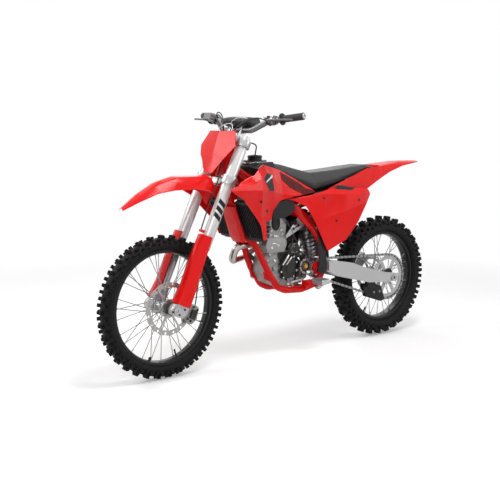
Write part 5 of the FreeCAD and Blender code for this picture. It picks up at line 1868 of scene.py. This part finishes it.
@dataclass
class FrontAxle:
    """The axle's end and collar, and the screws and piston housing of the front brake."""

    ahead: float = 57.0
    end: Turned = Turned(14.0, 5.0, 28, ((3.0, 0.0), (0.0, -6.0), (5.0, 0.0), (0.0, 2.0)))
    end_side: float = 127.5
    collar_side: float = 76.0
    collar_radius: float = 22.0
    collar_wide: float = 14.0
    collar_thick: float = 5.0
    pinch_side: float = 126.4
    pinch_screws: Outline = ((36, -12), (76, -12), (16, 20))
    caliper_side: float = 82.5
    caliper_screws: Outline = ((-88, 46), (-60, 52), (-70, -16), (-48, -12))
    piston_place: Point = (-72.0, 84.0, 18.0)
    piston_size: Point = (34.0, 10.0, 46.0)
    piston_steps: Steps = ((3.0, 2.0), (4.0, -1.5))

    def build(self) -> None:
        """Build the pieces at the foot of the fork."""
        end = self.end.at("front_axle_end", fork_frame(self.ahead, self.end_side, 0.0), LEFT)
        finished(end, POLISHED, Body.STEERING, edge=0.7)
        collar = ring("front_axle_collar", fork_frame(self.ahead, self.collar_side, 0.0), LEFT,
                      self.collar_radius, self.collar_wide, self.collar_thick)
        settle(collar, DARK_CAST, Body.STEERING)
        spots = [(fork_frame(x, self.pinch_side, z), LEFT) for x, z in self.pinch_screws]
        Screws("axle_pinch_screws", Body.STEERING, DARK_CAST, 5.0, 4.0, spots).build()
        spots = [(fork_frame(x, self.caliper_side, z), LEFT) for x, z in self.caliper_screws]
        Screws("front_caliper_screws", Body.STEERING, DARK_CAST, 6.0, 4.0, spots).build()
        piston = block("piston_housing", fork_frame(*self.piston_place), self.piston_size, (0.0, -RAKE, 0.0))
        finished(stepped(piston, LEFT, self.piston_steps), DARK_CAST, Body.STEERING, edge=2.0, segments=2)


# Bodywork

@dataclass(frozen=True)
class Patch:
    """A thin patch on the side of a panel, as its sticker or inlay lies, in millimetres."""

    name: str
    finish: Finish
    parts: tuple[Outline, ...]
    lift: float = 0.35
    thick: float = 0.5

    START = 260.0
    CELLS = 36
    MARGIN = 1.02
    LEAST_FACING = 0.25
    NEAR_START = 5.0

    def build(self, target: Piece, side: float, hand: str) -> None:
        """Lay the patch on one side.

        Args:
            target: The piece that carries it.
            side: 1 for the left side and -1 for the right.
            hand: The side's name.
        """
        piece = joined(f"{self.name}_{hand}", [self.sheet(outline, side) for outline in self.parts])
        applied(piece, "SHRINKWRAP", wrap_method="PROJECT", use_project_y=True,
                use_positive_direction=side < 0, use_negative_direction=side > 0, cull_face="OFF",
                target=target, offset=self.lift * MM, wrap_mode="ABOVE_SURFACE")
        self.clear_missed(piece)
        walled(piece, self.thick)
        finished(piece, self.finish, Body.CHASSIS, shade=40.0)

    def sheet(self, outline: Outline, side: float) -> Piece:
        """Cut one convex part out of a fine grid beside the bike."""
        spots = [ground(x, self.START * side, z) for x, z in outline]
        low, high = (Vector([pick(spot[axis] for spot in spots) for axis in range(3)])
                     for pick in (min, max))
        bpy.ops.mesh.primitive_grid_add(x_subdivisions=self.CELLS, y_subdivisions=self.CELLS, size=1.0,
                                        location=(low + high) / 2, rotation=(math.pi / 2 * side, 0.0, 0.0))
        sheet = named("sheet", ((high.x - low.x) * self.MARGIN, (high.z - low.z) * self.MARGIN, 1.0))
        heart = sum(spots, Vector()) / len(spots)
        cuts = []
        for start, end in zip(spots, [*spots[1:], spots[0]]):
            out = (end - start).cross(LEFT)
            cuts.append((start, -out if out.dot(heart - start) > 0 else out))
        with editing(sheet):
            trimmed(cuts)
        return sheet

    def clear_missed(self, piece: Piece) -> None:
        """Take away the faces that missed the panel or hang from its edge."""
        missed = (self.START - self.NEAR_START) * MM
        with editing(piece):
            picked(piece, lambda middle, normal: abs(normal.y) < self.LEAST_FACING or abs(middle.y) > missed)
            bpy.ops.mesh.delete(type="FACE")
            bpy.ops.mesh.select_mode(type="VERT")
            bpy.ops.mesh.select_all(action="SELECT")
            bpy.ops.mesh.delete_loose()


SHROUD_PATCHES = (
    Patch("shroud_kite", BLACK_PLASTIC, (((1025, 951), (993, 976), (955, 972), (936, 888), (987, 890)),)),
    Patch("shroud_stripe", WHITE_PRINT_AND_HIGHLIGHT, (((1006, 932), (1002, 940), (947, 966), (944, 957)),), lift=1.0),
    Patch("shroud_smoke", SMOKED_RED, (
        ((852, 974), (793, 946), (793, 890), (846, 933)), ((793, 946), (725, 912), (691, 849), (793, 890)),
        ((725, 912), (677, 882), (635, 843), (691, 849)), ((677, 882), (621, 868), (586, 861), (635, 843)))),
)
PANEL_PATCHES = (
    Patch("panel_vent", BLACK_PLASTIC, (((476, 875), (425, 889), (305, 866), (350, 855), (454, 866)),)),
)


@dataclass
class Bodywork:
    """Patches, vents and screws on the shrouds and the side panels."""

    shrouds: Piece
    side_panels: Piece
    shroud_screws: Outline = ((1048, 842), (990, 790), (720, 842), (905, 800))
    panel_screws: Outline = ((300, 800), (470, 700), (560, 826))

    def build(self) -> None:
        """Lay the patches and set the screws on both sides."""
        for side, hand in ((1.0, "left"), (-1.0, "right")):
            for target, patches in ((self.shrouds, SHROUD_PATCHES), (self.side_panels, PANEL_PATCHES)):
                for patch in patches:
                    patch.build(target, side, hand)
        panels = ((self.shrouds, self.shroud_screws), (self.side_panels, self.panel_screws))
        found = [on_skin(target, x, z, side) for target, places in panels for x, z in places
                 for side in (1.0, -1.0)]
        spots = [spot for spot in found if spot]
        Screws("panel_screws", Body.CHASSIS, BLACK_PLASTIC, 7.0, 2.6, spots).build()


# Swingarm and tail

@dataclass
class SwingarmDress:
    """The axle nut with its guard, the pivot's cap and the chain guide's screws."""

    face: float = 90.0
    axle_height: float = 340.0
    nut: Turned = Turned(17.0, 7.0, 6, ((3.0, 0.0), (0.0, -2.0)))
    nut_ahead: float = -6.0
    adjuster: Turned = Turned(9.0, 4.0, 20, ((3.0, 0.0), (0.0, -2.0)))
    adjuster_ahead: float = 26.0
    arm_slope: float = 0.02
    sunk: float = 0.5
    pivot_cap: Turned = Turned(20.0, 9.0, 28, ((3.0, 1.5), (6.0, -1.5), (3.0, 2.0)))
    pivot: Point = (568.0, 126.0, 450.0)
    guide_screw_half: float = 22.0
    guard: Turned = Turned(30.0, 5.0, 32, ((3.0, 1.5), (6.0, -1.0)))
    guard_place: tuple[float, float] = (-4.0, 356.0)
    guard_inside: float = 12.0

    def build(self) -> None:
        """Build the pieces on the swingarm."""
        parts = []
        for shape, ahead in ((self.nut, self.nut_ahead), (self.adjuster, self.adjuster_ahead)):
            rise = self.arm_slope * ahead
            middle = ground(ahead, self.face + shape.depth / 2 - self.sunk, self.axle_height + rise)
            parts.append(shape.at("axle_nut", middle, LEFT))
        finished(joined("rear_axle_nut", parts), POLISHED, Body.CHASSIS, edge=0.8)
        cap = self.pivot_cap.at("pivot_cap", ground(*self.pivot), LEFT)
        finished(cap, BLACK_PLASTIC, Body.CHASSIS, edge=0.7)
        low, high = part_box("chain_guide")
        middle = (low + high) / 2
        spots = [(Vector((middle.x + step * MM, high.y - self.sunk * MM, middle.z)), LEFT)
                 for step in (-self.guide_screw_half, self.guide_screw_half)]
        Screws("chain_guide_screws", Body.CHASSIS, SPOKE_STEEL, 6.5, 4.0, spots).build()
        x, z = self.guard_place
        guard = self.guard.at("rear_axle_guard", ground(x, self.face - self.guard_inside, z), LEFT)
        finished(guard, BLACK_PLASTIC, Body.CHASSIS)


@dataclass
class SilencerDress:
    """The bands, end cap and rivets of the silencer."""

    front: Point = (499.5, -150.0, 640.0)
    back: Point = (62.0, -154.0, 792.0)
    band_shares: tuple[float, ...] = (0.05, 0.5, 0.93)
    band_radius: float = 46.2
    band_wide: float = 9.0
    band_thick: float = 1.4
    cap: Turned = Turned(40.0, 12.0, 32, ((8.0, 3.0), (10.0, 4.0), (3.0, -14.0)))
    cap_inside: float = 4.0
    rivet_shares: tuple[float, ...] = (0.05, 0.93)
    rivet_count: int = 8
    rivet_reach: float = 47.4

    def build(self) -> None:
        """Build the pieces on the silencer."""
        front, back = ground(*self.front), ground(*self.back)
        axis = (back - front).normalized()
        size = (self.band_radius, self.band_wide, self.band_thick)
        bands = [ring("band", front + (back - front) * share, axis, *size) for share in self.band_shares]
        settle(joined("silencer_bands", bands), MACHINED, Body.CHASSIS)
        cap = self.cap.at("silencer_end", back - axis * self.cap_inside * MM, axis)
        finished(cap, DARK_CAST, Body.CHASSIS, edge=0.8)
        side = axis.cross(UP).normalized()
        rise = side.cross(axis)
        spots = []
        for share in self.rivet_shares:
            for angle in evenly(self.rivet_count):
                out = side * math.cos(angle) + rise * math.sin(angle)
                spots.append((front + (back - front) * share + out * self.rivet_reach * MM, out))
        Screws("silencer_rivets", Body.CHASSIS, SPOKE_STEEL, 2.6, 1.4, spots, sides=8, socket=0.3).build()


@dataclass
class Tail:
    """The mud flap ahead of the rear wheel, and the screws of the sprocket and the front disc."""

    flap: Outline = ((474, 690), (470, 640), (458, 560), (449, 486), (445, 486), (454, 560), (466, 640),
                     (470, 690))
    flap_half: float = 64.0
    sprocket_screws: tuple[float, float] = (48.0, 75.4)
    disc_screws: tuple[float, float] = (33.0, 63.0)
    screw_count: int = 6

    def build(self) -> None:
        """Hang the flap and set the screws."""
        flap = plate("mud_flap", self.flap, -self.flap_half, self.flap_half)
        rounded(flap, 1.0, 1)
        settle(flap, HOSE_RUBBER, Body.CHASSIS)
        for name, body, centre, (radius, beside), size, height in (
                ("sprocket_screws", Body.REAR_WHEEL, REAR_AXLE, self.sprocket_screws, 5.0, 4.0),
                ("front_disc_screws", Body.FRONT_WHEEL, FRONT_AXLE, self.disc_screws, 4.6, 3.0)):
            spots = around(centre, radius, evenly(self.screw_count), beside)
            Screws(name, body, SPOKE_STEEL, size, height, [(spot, LEFT) for spot in spots]).build()


def main() -> None:
    """Build the whole scene around the frame."""
    logging.basicConfig(level=logging.INFO, format="%(message)s")
    bpy.context.scene.view_settings.view_transform = "Standard"
    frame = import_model()
    for build_group in (grain_group, tone_group, brushed_group):
        build_group()
    Camera().build()
    Studio().build()
    for finish, nodes in KEPT_NODES.items():
        for node in nodes:
            dressed(frame["nodes"][node], finish)
    refined = {row.node: row.build(frame) for row in REFINED_NODES}
    for piece in (*DISCS, *CUSHIONS):
        piece.build(frame)
    for assembly in (Chain(), Crankcase(), CaseCovers(), CylinderDress(), Starter(), Intake(), OutputNut(),
                     Cooling(), TankTop(), ForkMarks(), Clamps(), Controls(), FrontAxle(),
                     Bodywork(refined["shrouds"], refined["side_panels"]), SwingarmDress(), SilencerDress(),
                     Tail(), *TYRES, *WHEELS):
        assembly.build()
    for run in ENGINE_RUNS:
        run.build(Body.CHASSIS, ground)
    for run in COCKPIT_RUNS:
        run.build(Body.STEERING, fork_frame)


if __name__ == "__main__":
    main()
